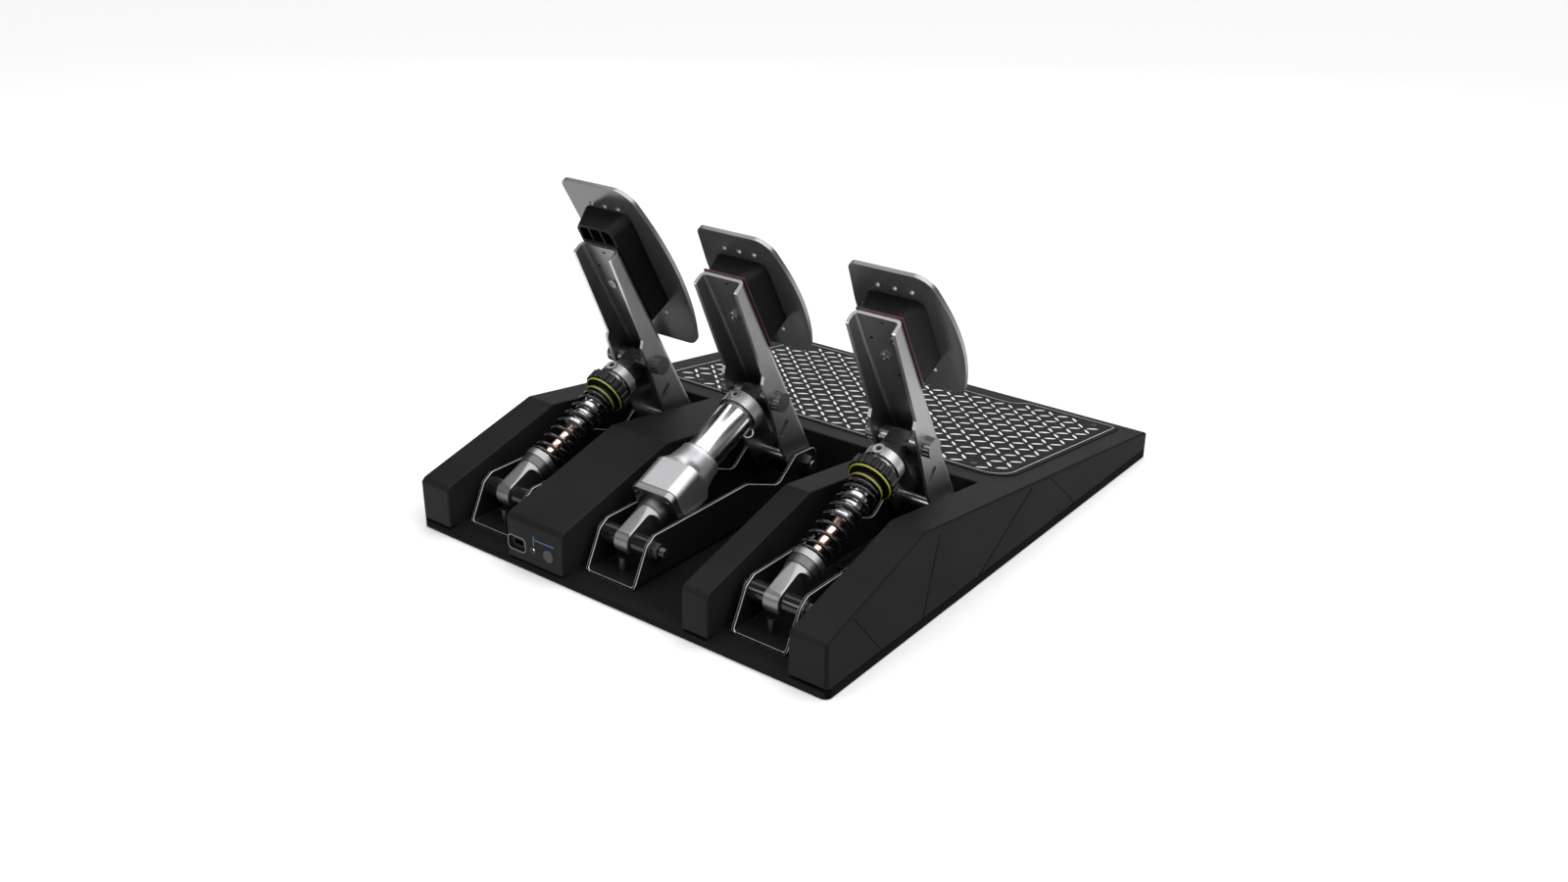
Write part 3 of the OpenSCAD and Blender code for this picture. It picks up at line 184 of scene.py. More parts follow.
def front_place(x, z):
    """A point of the front face, Z pointing out of it and Y up along it."""
    out = Matrix.Rotation(FRONT_LEAN - QUARTER_TURN, 4, "X") @ Matrix.Rotation(HALF_TURN, 4, "Z")
    y = FRONT_Y - (z - PANEL_Z) * math.tan(FRONT_LEAN)
    return Matrix.Translation((x * MM, y * MM, z * MM)) @ out


# Finishes

BROAD_GRAIN, RELIEF_DEPTH = 22.0, 0.0001
GRAIN_LOW, GRAIN_HIGH = 0.3, 0.7
TONE_LOW, TONE_HIGH = 0.35, 0.65


def linked(tree, kind, **inputs):
    """New node with its inputs set to values or linked to sockets."""
    node = tree.nodes.new(kind)
    for name, value in inputs.items():
        socket = node.inputs[name.replace("_", " ")]
        if isinstance(value, bpy.types.NodeSocket):
            tree.links.new(value, socket)
        else:
            socket.default_value = value
    return node


def grain_of(tree, scale, stretch=(1, 1, 1), turn=0.0, detail=4.0):
    """Noise on object coordinates, drawn out by stretch along axes turned about X."""
    place = linked(tree, "ShaderNodeMapping", Vector=linked(tree, "ShaderNodeTexCoord").outputs["Object"])
    place.vector_type = "TEXTURE"
    place.inputs["Rotation"].default_value = (turn, 0, 0)
    place.inputs["Scale"].default_value = stretch
    noise = linked(
        tree, "ShaderNodeTexNoise", Vector=place.outputs[0], Scale=scale, Detail=detail, Roughness=0.6,
    )
    return noise.outputs["Fac"]


def spread(tree, source, low, high):
    """Grain brought between two values."""
    node = linked(
        tree, "ShaderNodeMapRange", Value=source, To_Min=low, To_Max=high, From_Min=GRAIN_LOW,
        From_Max=GRAIN_HIGH,
    )
    return node.outputs["Result"]


def shade(colour, factor):
    return tuple(min(1.0, c * factor) for c in colour) + (1.0,)


def two_tone(tree, source, dark, light):
    ramp = linked(tree, "ShaderNodeValToRGB", Fac=source)
    first, last = ramp.color_ramp.elements[0], ramp.color_ramp.elements[1]
    first.position, last.position = TONE_LOW, TONE_HIGH
    first.color, last.color = dark, light
    return ramp.outputs["Color"]


def finish(
    name, colour, rough, grain, metal=0.0, rough_spread=0.06, tone=0.12, stretch=(1, 1, 1), turn=0.0, bump=0.1,
    **sockets
):
    """A node finish: colour toned by a broad grain, roughness and relief from a fine one."""
    made = bpy.data.materials.new(name)
    made.use_nodes = True
    tree = made.node_tree
    skin = tree.nodes["Principled BSDF"]
    skin.inputs["Metallic"].default_value = metal
    for socket, value in sockets.items():
        skin.inputs[socket.replace("_", " ")].default_value = value
    fine = grain_of(tree, grain, stretch, turn)
    broad = grain_of(tree, BROAD_GRAIN, detail=2.0)
    toned = two_tone(tree, broad, shade(colour, 1 - tone), shade(colour, 1 + tone))
    tree.links.new(toned, skin.inputs["Base Color"])
    tree.links.new(spread(tree, fine, rough - rough_spread, rough + rough_spread), skin.inputs["Roughness"])
    relief = linked(tree, "ShaderNodeBump", Strength=bump, Distance=RELIEF_DEPTH, Height=fine)
    tree.links.new(relief.outputs[0], skin.inputs["Normal"])
    return made


ROUND_STRUT = dict(turn=QUARTER_TURN - STRUT_TILT, stretch=(30, 30, 1), grain=2600.0, rough_spread=0.03)
ALONG_ARM = dict(turn=-ARM_LEAN, stretch=(1, 1, 40), grain=3000.0, rough_spread=0.025)
CUT_EDGE = dict(grain=1600, bump=0.0)
SATIN = dict(metal=1.0, rough_spread=0.02)

F = {
    "shell": finish("charcoal_moulding", (0.0105, 0.0111, 0.0104), rough=0.46, grain=1500, bump=0.14,
                    Specular_IOR_Level=0.08),
    # Darker, less glossy copy of the moulding for the shell's sides: painted shade
    "shell_side_painted_shade": finish("charcoal_side_painted_shade", (0.0085, 0.009, 0.0084), rough=0.5, grain=1500, bump=0.12,
                         Specular_IOR_Level=0.03),
    # Darker, near matte copy of the tray moulding for the tray's sides: painted shadow
    "tray_side_painted_shadow": finish("tray_side_painted_shadow", (0.0026, 0.0028, 0.0026), rough=0.5, grain=1500, bump=0.12,
                        Specular_IOR_Level=0.01),
    "tray": finish("tray_moulding", (0.0062, 0.0066, 0.0063), rough=0.46, grain=1500, bump=0.14,
                   Specular_IOR_Level=0.07),
    "heel": finish("heel_sheet", (0.006, 0.006, 0.0064), rough=0.5, grain=1100, bump=0.12,
                   Specular_IOR_Level=0.08),
    "tread": finish("tread_silver", (0.68, 0.68, 0.69), metal=0.1, rough=0.4, grain=1800, bump=0.1),
    "screw": finish("black_oxide", (0.07, 0.07, 0.073), metal=0.9, rough=0.3, grain=2200),
    "rubber": finish("foot_rubber_skin", (0.012, 0.012, 0.012), rough=0.75, grain=700, bump=0.35),
    "socket": finish("socket_plating", (0.03, 0.03, 0.031), metal=0.8, rough=0.35, grain=1500),
    "board": finish("solder_mask", (0.015, 0.11, 0.05), rough=0.35, grain=900),
    "button": finish("button_satin", (0.01, 0.01, 0.0105), rough=0.36, grain=1500),
    "bracket": finish("bracket_powder_coat", (0.008, 0.008, 0.0084), metal=0.2, rough=0.36, grain=1700,
                      bump=0.12, Specular_IOR_Level=0.3),
    # Bright grey on the brackets' rounded edges: a painted highlight
    "bracket_edge_highlight": finish("bracket_painted_edge_highlight", (0.5, 0.5, 0.505), metal=0.2, rough=0.35, rough_spread=0.02,
                          **CUT_EDGE),
    # Bright metal for the arms' cut edges near their top: a painted highlight
    "top_edge_painted_highlight": finish("bright_cut_edge_painted_highlight", (0.92, 0.92, 0.93), metal=0.9, rough=0.26, rough_spread=0.015, **CUT_EDGE),
    "steel": finish("zinc_steel", (0.5, 0.5, 0.5), metal=1.0, rough=0.28, grain=1400, bump=0.04),
    "nylon": finish("washer_nylon_skin", (0.6, 0.59, 0.55), rough=0.5, grain=800),
    "spacer": finish("spacer_gloss", (0.006, 0.006, 0.006), rough=0.16, rough_spread=0.04, grain=600, bump=0.04),
    "sensor": finish("sensor_moulding", (0.01, 0.01, 0.011), rough=0.45, grain=1300),
    "arm": finish("arm_satin_steel", (0.38, 0.38, 0.385), metal=1.0, rough=0.42, tone=0.03, bump=0.01,
                  **ALONG_ARM),
    # Darker copy of the arm steel for faces inside the fold: painted shade
    "arm_inside_painted_shade": finish("arm_inside_painted_shade_steel", (0.29, 0.29, 0.294), metal=1.0, rough=0.4, tone=0.03, bump=0.01,
                         **ALONG_ARM),
    # Lighter steel for the arms' sheet edges further down: a milder painted highlight
    "arm_edge_painted_highlight": finish("arm_sheet_edge_painted_highlight", (0.66, 0.66, 0.665), rough=0.36, **CUT_EDGE, **SATIN),
    "block": finish("block_moulding", (0.0035, 0.0035, 0.0037), rough=0.5, grain=1300, bump=0.15,
                    Specular_IOR_Level=0.16),
    "shim": finish("shim_red", (0.045, 0.004, 0.007), rough=0.42, grain=1000),
    "plate": finish("plate_brushed_alloy", (0.18, 0.18, 0.184), metal=0.75, rough=0.19, tone=0.03, bump=0.004,
                    **ALONG_ARM),
    "plate_rim": finish("plate_rim_bright", (0.26, 0.26, 0.264), metal=1.0, rough=0.3, rough_spread=0.015,
                        **CUT_EDGE),
    "gunmetal": finish("head_gunmetal", (0.3, 0.3, 0.303), metal=1.0, rough=0.28, tone=0.04, bump=0.008,
                       **ROUND_STRUT),
    "eye": finish("eye_satin_alloy", (0.26, 0.26, 0.264), rough=0.4, tone=0.03, grain=2600, bump=0.006, **SATIN),
    # Darker alloy for the band of the strut eyes: painted shade
    "band": finish("band_dark_alloy", (0.09, 0.09, 0.092), metal=0.9, rough=0.36, rough_spread=0.02, tone=0.03,
                   grain=2600, bump=0.01),
    "cap": finish("cap_satin_alloy", (0.46, 0.46, 0.465), rough=0.42, tone=0.03, grain=2000, bump=0.01, **SATIN),
    "knob": finish("knob_pale_steel", (0.2, 0.2, 0.203), rough=0.3, tone=0.02, grain=2000, bump=0.01, **SATIN),
    "end": finish("end_plate_alloy", (0.26, 0.26, 0.265), metal=1.0, rough=0.33, tone=0.04, bump=0.02,
                  **ROUND_STRUT),
    "housing": finish("housing_satin_silver", (0.52, 0.52, 0.53), rough=0.42, tone=0.02, grain=2000, bump=0.02,
                      **SATIN),
    "elastomer": finish("elastomer_skin", (0.16, 0.03, 0.03), rough=0.6, grain=900, bump=0.3),
    "chrome": finish("tube_chrome", (0.8, 0.8, 0.81), metal=1.0, rough=0.17, rough_spread=0.01, tone=0.02,
                     grain=2600, bump=0.0),
    "barrel": finish("barrel_dark_chrome", (0.38, 0.38, 0.39), metal=1.0, rough=0.2, tone=0.03, bump=0.01,
                     **ROUND_STRUT),
    "copper": finish("rod_copper", (0.95, 0.62, 0.5), metal=1.0, rough=0.3, tone=0.04, bump=0.006, **ROUND_STRUT),
    "spring": finish("spring_black_coat", (0.006, 0.006, 0.0065), rough=0.2, rough_spread=0.05, grain=800,
                     bump=0.03, Coat_Weight=0.4, Coat_Roughness=0.08),
    "yellow": finish("ring_yellow_green", (0.36, 0.38, 0.03), rough=0.38, grain=1400, bump=0.1),
    "seat": finish("seat_yellow_green", (0.2, 0.21, 0.03), rough=0.42, grain=1400, bump=0.1),
    "collar": finish("collar_black_anodised", (0.012, 0.012, 0.0125), metal=0.5, rough=0.34, grain=1800),
    "lens": finish("lens_white", (0.9, 0.93, 0.95), rough=0.2, tone=0.02, grain=700, bump=0.02,
                   Emission_Color=(0.95, 0.98, 1.0, 1.0), Emission_Strength=1.6),
    "cell": finish("cell_steel", (0.5, 0.5, 0.48), metal=1.0, rough=0.35, grain=1500),
    "port_frame": finish("port_frame_grey", (0.2, 0.2, 0.205), rough=0.4, grain=1400, bump=0.03),
    "port_line": finish("port_line_blue", (0.03, 0.1, 0.24), rough=0.45, grain=1400, bump=0.03),
}


# Shaping

def ease(bm, width, segments=2, pick=None, clamp=True):
    """Round the edges that turn sharply, or those of them that pick chooses."""
    edges = [
        e for e in bm.edges
        if len(e.link_faces) == 2 and e.calc_face_angle() > math.radians(EDGE_ANGLE) and (pick is None or pick(e))
    ]
    if not edges:
        return []
    return bmesh.ops.bevel(
        bm, geom=edges, offset=width, offset_type="OFFSET", segments=segments, profile=0.5, affect="EDGES",
        clamp_overlap=clamp, material=-1,
    )["faces"]


def as_piece(name, bm, finishes, body, slot, smooth=SOFT_SHADING):
    """Turn a bmesh in metres into a finished piece on its body."""
    mesh = bpy.data.meshes.new(name)
    bm.to_mesh(mesh)
    bm.free()
    mesh.polygons.foreach_set("use_smooth", [True] * len(mesh.polygons))
    mesh.set_sharp_from_angle(angle=math.radians(smooth))
    for each in finishes:
        mesh.materials.append(each)
    piece = bpy.data.objects.new(name, mesh)
    bpy.context.scene.collection.objects.link(piece)
    facing = piece.modifiers.new("facing", "WEIGHTED_NORMAL")
    facing.keep_sharp = True
    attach(piece, body)
    return piece


SLOTS = {row["node"]: row["material_slot"] for row in frame["record"]["subparts"]}


def merged_copy(node):
    """Copy of a node's mesh with its points merged and its flat faces joined, apart from the underside's."""
    bm = bmesh.new()
    bm.from_mesh(cad[node].data)
    bmesh.ops.remove_doubles(bm, verts=bm.verts, dist=MERGE_DIST * MM)
    open_edges = [e for e in bm.edges if any(f.normal.z > -0.99 for f in e.link_faces)]
    bmesh.ops.dissolve_limit(
        bm, angle_limit=math.radians(FLAT_ANGLE), use_dissolve_boundaries=False, verts=bm.verts, edges=open_edges,
    )
    return bm


def thin_faces(bm, thickness, across):
    """Give the rim finish to faces no wider than the sheet that run along the direction across."""
    for face in bm.faces:
        longest = max(e.calc_length() for e in face.edges)
        if face.calc_area() / longest < thickness * MM and abs(face.normal.dot(across)) < 0.05:
            face.material_index = 1


def dressed(
    node, finish_key, width, segments=2, pick=None, clamp=True, sheet=0.0, across=Vector((1, 0, 0)), rim=None,
    before=None, mark=None, more=()
):
    """Replace a node by its merged copy with rounded edges, its own finish, a rim finish and more by mark."""
    bm = merged_copy(node)
    if before:
        before(bm)
    if sheet:
        thin_faces(bm, sheet, across)
    rounded = ease(bm, width * MM, segments, pick, clamp) if width else []
    if rim:
        for face in rounded:
            face.material_index = 1
    if mark:
        for face in bm.faces:
            face.material_index = mark(face)
    finishes = [F[key] for key in (finish_key, rim, *more) if key]
    piece = as_piece(node + "_dressed", bm, finishes, cad[node]["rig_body"], SLOTS[node])
    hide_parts(node)


def placed(name, bm, place, finish_key, body, slot, smooth=SOFT_SHADING):
    """A new piece that was modelled in millimetres in a local frame."""
    bmesh.ops.transform(bm, matrix=place @ Matrix.Scale(MM, 4), verts=bm.verts)
    return as_piece(name, bm, [F[finish_key]], body, slot, smooth)


def add_to(bm, other):
    """Move another bmesh into this one."""
    mesh = bpy.data.meshes.new("moved")
    other.to_mesh(mesh)
    other.free()
    bm.from_mesh(mesh)
    bpy.data.meshes.remove(mesh)


def turned(outline, steps):
    """Ring spun round Z from a closed outline of (radius, height) points."""
    bm = bmesh.new()
    corners = [bm.verts.new((r, 0, z)) for r, z in outline]
    for a, b in zip(corners, corners[1:] + corners[:1]):
        bm.edges.new((a, b))
    bmesh.ops.spin(
        bm, geom=bm.verts[:] + bm.edges[:], cent=(0, 0, 0), axis=(0, 0, 1), dvec=(0, 0, 0), angle=FULL_TURN,
        steps=steps, use_merge=True, use_normal_flip=False, use_duplicate=False,
    )
    bmesh.ops.remove_doubles(bm, verts=bm.verts, dist=1e-4)
    bmesh.ops.recalc_face_normals(bm, faces=bm.faces)
    return bm


def round_corners(bm, corners, radius):
    """Round corner points of a flat outline."""
    bmesh.ops.bevel(
        bm, geom=corners, offset=radius, offset_type="OFFSET", segments=8, profile=0.5, affect="VERTICES",
        clamp_overlap=True, material=-1,
    )


def inset_ring(bm, width):
    """Faces of a ring that runs along the inside of a flat outline."""
    return bmesh.ops.inset_region(
        bm, faces=bm.faces[:], thickness=width, use_boundary=True, use_even_offset=True,
    )["faces"]


def keep_ring(bm, width):
    """Leave only the ring along the inside of a flat outline."""
    ring = inset_ring(bm, width)
    bmesh.ops.delete(bm, geom=[f for f in bm.faces if f not in ring], context="FACES")


def close_tube(bm):
    """Cap the open ends of a bent wire."""
    bmesh.ops.holes_fill(bm, edges=[e for e in bm.edges if e.is_boundary], sides=0)
    bmesh.ops.recalc_face_normals(bm, faces=bm.faces)


def hex_plug(bm, radius, length, hex_radius, depth, place):
    """Socket screw end: round plug with a hexagon socket, top at zero."""
    before = set(bm.verts)
    rim = bmesh.ops.create_circle(bm, cap_ends=False, radius=radius, segments=24)["verts"]
    socket = bmesh.ops.create_circle(bm, cap_ends=False, radius=hex_radius, segments=6)["verts"]
    rim_edges = list({e for v in rim for e in v.link_edges})
    socket_edges = list({e for v in socket for e in v.link_edges})
    bmesh.ops.bridge_loops(bm, edges=rim_edges + socket_edges)
    for edges, drop in ((socket_edges, depth), (rim_edges, length)):
        grown = bmesh.ops.extrude_edge_only(bm, edges=edges)["geom"]
        low = [g for g in grown if isinstance(g, bmesh.types.BMVert)]
        bmesh.ops.translate(bm, verts=low, vec=(0, 0, -drop))
        low_edges = [g for g in grown if isinstance(g, bmesh.types.BMEdge) and all(v in low for v in g.verts)]
        bmesh.ops.contextual_create(bm, geom=low_edges)
    new = [v for v in bm.verts if v not in before]
    bmesh.ops.recalc_face_normals(bm, faces=list({f for v in new for f in v.link_faces}))
    bmesh.ops.transform(bm, matrix=place, verts=new)


# Base

def shell_edge(e):
    """Outer long edges of the ridges, deck and front faces."""
    if not e.is_convex:
        return False
    mid = (e.verts[0].co + e.verts[1].co) / 2 / MM
    if DECK_Y[0] < mid.y < DECK_Y[1] and abs(mid.x) < DECK_HALF_W:
        return False
    if mid.y > PANEL_EDGE_Y and abs(mid.x - PORT_RIDGE) < PANEL_HALF_W:
        return False
    at_end = mid.y > FRONT_FACE_Y or mid.y < HEEL_FACE_Y

    def topmost(n):
        return n.z > 0.93 or (abs(n.x) < 0.05 and n.z > -0.1 and at_end)

    first, second = (f.normal for f in e.link_faces)
    return topmost(first) != topmost(second) and min(abs(first.z), abs(second.z)) < 0.3


def groove_ends(bm):
    """Keep the ends of the front side grooves under the rounded edge of the ridge."""
    for v in bm.verts:
        x, y, z = v.co / MM
        if abs(x) > GROOVE_X and GROOVE_Y[0] < y < GROOVE_Y[1] and GROOVE_Z[0] < z < GROOVE_Z[1]:
            out, back, down = GROOVE_SHIFT
            v.co += Vector((math.copysign(out, x), back, down)) * MM


# Side faces of the shell, which take the painted shade finish
def shell_side_painted_shade(face):
    return int(abs(face.calc_center_median().x) > SHELL_SIDE_X * MM)


def tray_edge(e):
    return min(v.co.z for v in e.verts) > TRAY_FLOOR_Z * MM


# Side faces of the tray, which take the painted shadow finish
def tray_side_painted_shadow(face):
    return int(abs(face.normal.x) > 0.5 and abs(face.calc_center_median().x) > TRAY_SIDE_X * MM)


# The side faces of the shell and the tray take darker copies of their mouldings: painted shade and painted shadow
dressed(
    "top_shell", "shell", 1.5, 3, pick=shell_edge, clamp=False, before=groove_ends, mark=shell_side_painted_shade,
    more=("shell_side_painted_shade",),
)
dressed("base_pan", "tray", 0.5, pick=tray_edge, mark=tray_side_painted_shadow, more=("tray_side_painted_shadow",))
for node, key, width in (
    ("heel_plate", "heel", 0.3), ("heel_screws", "screw", 0.12), ("rubber_feet", "rubber", 0.2),
    ("pan_screws", "screw", 0.25), ("usb_socket", "socket", 0.2), ("status_light", "lens", 0.0),
    ("mode_button", "button", 0.5), ("bracket_screws", "screw", 0.3),
):
    dressed(node, key, width)


def heel_line():
    """Pale line round the heel plate, a little inside its edge."""
    half, low, top = HEEL_PLATE_W / 2, HEEL_PLATE_LOW, HEEL_PLATE_TOP
    notch, notch_end = NOTCH_HALF_W, NOTCH_HALF_W + NOTCH_SLOPE
    bm = bmesh.new()
    corners = [
        (-half, top, TOP_CORNER), (half, top, TOP_CORNER), (half, low, LOW_CORNER), (notch_end, low, NOTCH_CORNER),
        (notch, low + HEEL_NOTCH, NOTCH_CORNER), (-notch, low + HEEL_NOTCH, NOTCH_CORNER),
        (-notch_end, low, NOTCH_CORNER), (-half, low, LOW_CORNER),
    ]
    made = [bm.verts.new((x, y, 0)) for x, y, r in corners]
    bm.faces.new(reversed(made))
    for radius in (TOP_CORNER, LOW_CORNER, NOTCH_CORNER):
        round_corners(bm, [v for v, c in zip(made, corners) if c[2] == radius and v.is_valid], radius)
    bmesh.ops.delete(bm, geom=inset_ring(bm, LINE_MARGIN), context="FACES")
    keep_ring(bm, LINE_W)
    bmesh.ops.recalc_face_normals(bm, faces=bm.faces)
    bmesh.ops.solidify(bm, geom=bm.faces[:], thickness=LINE_T)
    bmesh.ops.recalc_face_normals(bm, faces=bm.faces)
    lowest = min(v.co.z for v in bm.verts)
    bmesh.ops.translate(bm, verts=bm.verts, vec=(0, 0, HEEL_SURFACE - LINE_SUNK - lowest))
    placed("heel_edge_line", bm, heel_place(), "tread", "root", "heel_tread")


def bare_place(x, y):
    """Places of the heel plate without a lozenge: its lower edge, notch, top corners and screws."""
    near_notch = abs(x) < BARE_NOTCH and y < HEEL_PLATE_LOW + HEEL_NOTCH + BARE_EDGE
    near_corner = abs(x) > BARE_CORNER[0] and y > HEEL_PLATE_TOP - BARE_CORNER[1]
    near_screw = any(
        math.hypot(x - side * (HEEL_PLATE_W / 2 - dx), y - HEEL_PLATE_TOP + dy) < BARE_SCREW
        for side in (-1, 1) for dx, dy in HEEL_SCREWS
    )
    return y < HEEL_PLATE_LOW + BARE_EDGE or near_notch or near_corner or near_screw


def heel_tread():
    """Raised lozenges of the heel plate, turned by turns to either side."""
    bm = bmesh.new()
    for row in LOZENGE_ROWS:
        for column in LOZENGE_COLUMNS:
            x, y = column * LOZENGE_PITCH, HEEL_PLATE_TOP - FIRST_ROW - row * LOZENGE_PITCH
            if bare_place(x, y):
                continue
            lean = math.pi / 4 * (1 if (row + column) % 2 else -1)
            place = Matrix.Translation((x, y, HEEL_SURFACE + LOZENGE_LIFT)) @ Matrix.Rotation(lean, 4, "Z")
            bmesh.ops.create_cone(
                bm, cap_ends=True, cap_tris=False, segments=8, radius1=1.0, radius2=LOZENGE_TOP, depth=1.0,
                matrix=place @ Matrix.Diagonal((*LOZENGE_SIZE, 1.0)),
            )
    placed("heel_tread_marks", bm, heel_place(), "tread", "root", "heel_tread", FIRM_SHADING)


heel_line()
heel_tread()


def outline_ring(width, height, radius, margin):
    """Flat ring of a rounded outline, a little sunk below zero."""
    bm = bmesh.new()
    signs = ((-1, -1), (1, -1), (1, 1), (-1, 1))
    made = [bm.verts.new((x * width / 2, y * height / 2, 0)) for x, y in signs]
    bm.faces.new(made)
    round_corners(bm, made, radius)
    keep_ring(bm, margin)
    grown = bmesh.ops.extrude_face_region(bm, geom=bm.faces[:])["geom"]
    bmesh.ops.translate(bm, verts=[g for g in grown if isinstance(g, bmesh.types.BMVert)], vec=(0, 0, RING_T))
    bmesh.ops.recalc_face_normals(bm, faces=bm.faces)
    ease(bm, RING_T * 0.3, 1)
    bmesh.ops.translate(bm, verts=bm.verts, vec=(0, 0, -RING_SUNK))
    return bm


def front_marks():
    """Pale frame of the socket, dark ring of the light, and the two lines above the light and the button."""
    for name, x, outline, key, slot in (
        ("port_frame", PORT_X, PORT_FRAME, "port_frame", "socket_shell"),
        ("light_ring", LIGHT_X, LIGHT_RING, "spacer", "spacer_plastic"),
    ):
        placed(name, outline_ring(*outline), front_place(x, PANEL_Z), key, "root", slot)
    for name, at, size, key, slot in (
        ("button_line", BUTTON_LINE_AT, BUTTON_LINE, "port_line", "button_plastic"),
        ("light_line", LIGHT_LINE_AT, LIGHT_LINE, "port_frame", "socket_shell"),
    ):
        bm = bmesh.new()
        bmesh.ops.create_cube(bm, size=1.0, matrix=Matrix.Diagonal((*size, STRIP_T, 1.0)))
        ease(bm, STRIP_EDGE)
        placed(name, bm, front_place(*at), key, "root", slot)


front_marks()

# Brackets and their hardware

# Brackets get rounded edges in a bright grey, a painted highlight
for pedal in STATIONS:
    dressed(pedal + "_bracket", "bracket", 0.45, clamp=False, rim="bracket_edge_highlight")
for node, key, width in (
    ("pivot_axles", "steel", 0.5), ("pivot_washers", "nylon", 0.2), ("lower_pins", "screw", 0.5),
    ("lower_spacers", "spacer", 0.5), ("flange_nuts", "screw", 0.4), ("angle_sensors", "sensor", 0.6),
):
    dressed(node, key, width)


def thread_outline(radius, end):
    """Section of the thread between the nut and the end of a pin."""
    count = int((end - NUT_H - 0.5) / THREAD_PITCH)
    outline = [(radius - 0.1, NUT_H + 0.1)]
    for i in range(count):
        low = NUT_H + i * THREAD_PITCH
        outline += [(radius + 0.28, low + 0.4), (radius + 0.28, low + 0.6), (radius + 0.02, low + 1.0)]
    outline.append((radius - 0.1, NUT_H + 0.1 + count * THREAD_PITCH))
    return outline


def thread_ends():
    """Threads on the pins and axles outside their nuts."""
    bm = bmesh.new()
    for pedal, x in STATIONS.items():
        pin_end = BRAKE_PIN_END if pedal == "brake" else PIN_END
        for y, z, radius, end in ((PIN_Y, PIN_Z, PIN_R, pin_end), (PIVOT_Y, PIVOT_Z, AXLE_R, PIN_END)):
            ring = turned(thread_outline(radius, end), 40)
            place = Matrix.Translation((x - CHEEK_X, y, z)) @ Matrix.Rotation(-QUARTER_TURN, 4, "Y")
            bmesh.ops.transform(ring, matrix=place, verts=ring.verts)
            add_to(bm, ring)
    placed("pin_threads", bm, Matrix.Identity(4), "screw", "root", "dark_screw", FIRM_SHADING)


thread_ends()

# Pedals

ARM_FACING = Matrix.Rotation(-ARM_LEAN, 3, "X") @ Vector((0, 1, 0))


def arm_mark(pedal):
    """Cut edges get a strong painted highlight at the arm's top and a milder one further down; faces inside the
    fold get painted shade.
    """
    inward = arm_place(STATIONS[pedal]).inverted()

    def mark(face):
        spot = inward @ face.calc_center_median()
        if face.material_index:
            return 1 if spot.z > (ARM_LEN - HIGHLIGHT_TOP) * MM else 2
        face.normal_update()
        to_middle = -math.copysign(face.normal.x, face.normal.x * spot.x)
        return 3 if max(to_middle, face.normal.dot(ARM_FACING)) > SHADE_FACING else 0

    return mark


def block_corners(bm):
    """Round the four long corners of a spacer block."""

    def is_corner(e):
        way = (e.verts[0].co - e.verts[1].co).normalized()
        return e.is_convex and e.calc_length() > BLOCK_EDGE * MM and abs(way.dot(ARM_FACING)) > BLOCK_FACING

    bmesh.ops.bevel(
        bm, geom=[e for e in bm.edges if is_corner(e)], offset=BLOCK_CORNER * MM, offset_type="OFFSET", segments=7,
        profile=0.5, affect="EDGES", clamp_overlap=True, material=-1,
    )


for pedal in STATIONS:
    dressed(
        pedal + "_arm", "arm", 0.35, sheet=ARM_SHEET, rim="top_edge_painted_highlight", mark=arm_mark(pedal),
        more=("arm_edge_painted_highlight", "arm_inside_painted_shade"),
    )
    dressed(pedal + "_block", "block", 0.7, before=block_corners)
    dressed(pedal + "_plate", "plate", 0.7, 3, sheet=PLATE_SHEET, across=ARM_FACING, rim="plate_rim")
    dressed(pedal + "_screws", "steel", 0.3)
    dressed(pedal + "_cross_pin", "knob", 0.25)
    if pedal != "throttle":
        dressed(pedal + "_shim", "shim", 0.3)

# Struts


def coil_spring(pedal):
    """Round wire wound between cup and seat, its end turns closed."""
    bm = bmesh.new()
    wire = bmesh.ops.create_circle(bm, cap_ends=False, radius=WIRE_D / 2, segments=WIRE_SIDES)["verts"]
    bmesh.ops.rotate(bm, verts=wire, cent=(0, 0, 0), matrix=Matrix.Rotation(QUARTER_TURN, 3, "X"))
    start = ((SPRING_D - WIRE_D) / 2, 0, CUP_TOP + WIRE_D / 2 + SPRING_LIFT)
    bmesh.ops.translate(bm, verts=wire, vec=start)
    length = SEAT_AT - PRELOAD_ROOM - CUP_TOP
    open_turns = SPRING_TURNS - 2 * CLOSED_TURNS
    open_rise = length - WIRE_D - 2 * CLOSED_RISE
    geom = bm.verts[:] + bm.edges[:]
    for turns, rise in ((CLOSED_TURNS, CLOSED_RISE), (open_turns, open_rise), (CLOSED_TURNS, CLOSED_RISE)):
        steps = round(turns * COIL_STEPS)
        geom = bmesh.ops.spin(
            bm, geom=geom, cent=(0, 0, 0), axis=(0, 0, 1), dvec=(0, 0, rise / steps), angle=turns * FULL_TURN,
            steps=steps, use_merge=False, use_normal_flip=False, use_duplicate=False,
        )["geom_last"]
    close_tube(bm)
    place = strut_place(STATIONS[pedal])
    piece = placed(pedal + "_coil", bm, place, "spring", pedal + "_strut_lower", "spring_coat", 40.0)
    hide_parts(pedal + "_spring")
    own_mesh(piece)


def collar_ring(pedal):
    """Yellow-green ring let into the lower lip of the collar."""
    outline = (
        (18.2, -0.1), (19.0, -0.1), (19.25, 0.2), (19.25, 0.9), (18.9, 1.0), (18.9, 0.2), (18.2, 0.2),
    )
    bm = turned([(r, COLLAR_AT + z) for r, z in outline], 96)
    body = pedal + "_preload_collar"
    placed(pedal + "_collar_ring", bm, strut_place(STATIONS[pedal]), "yellow", body, "yellow_ring")


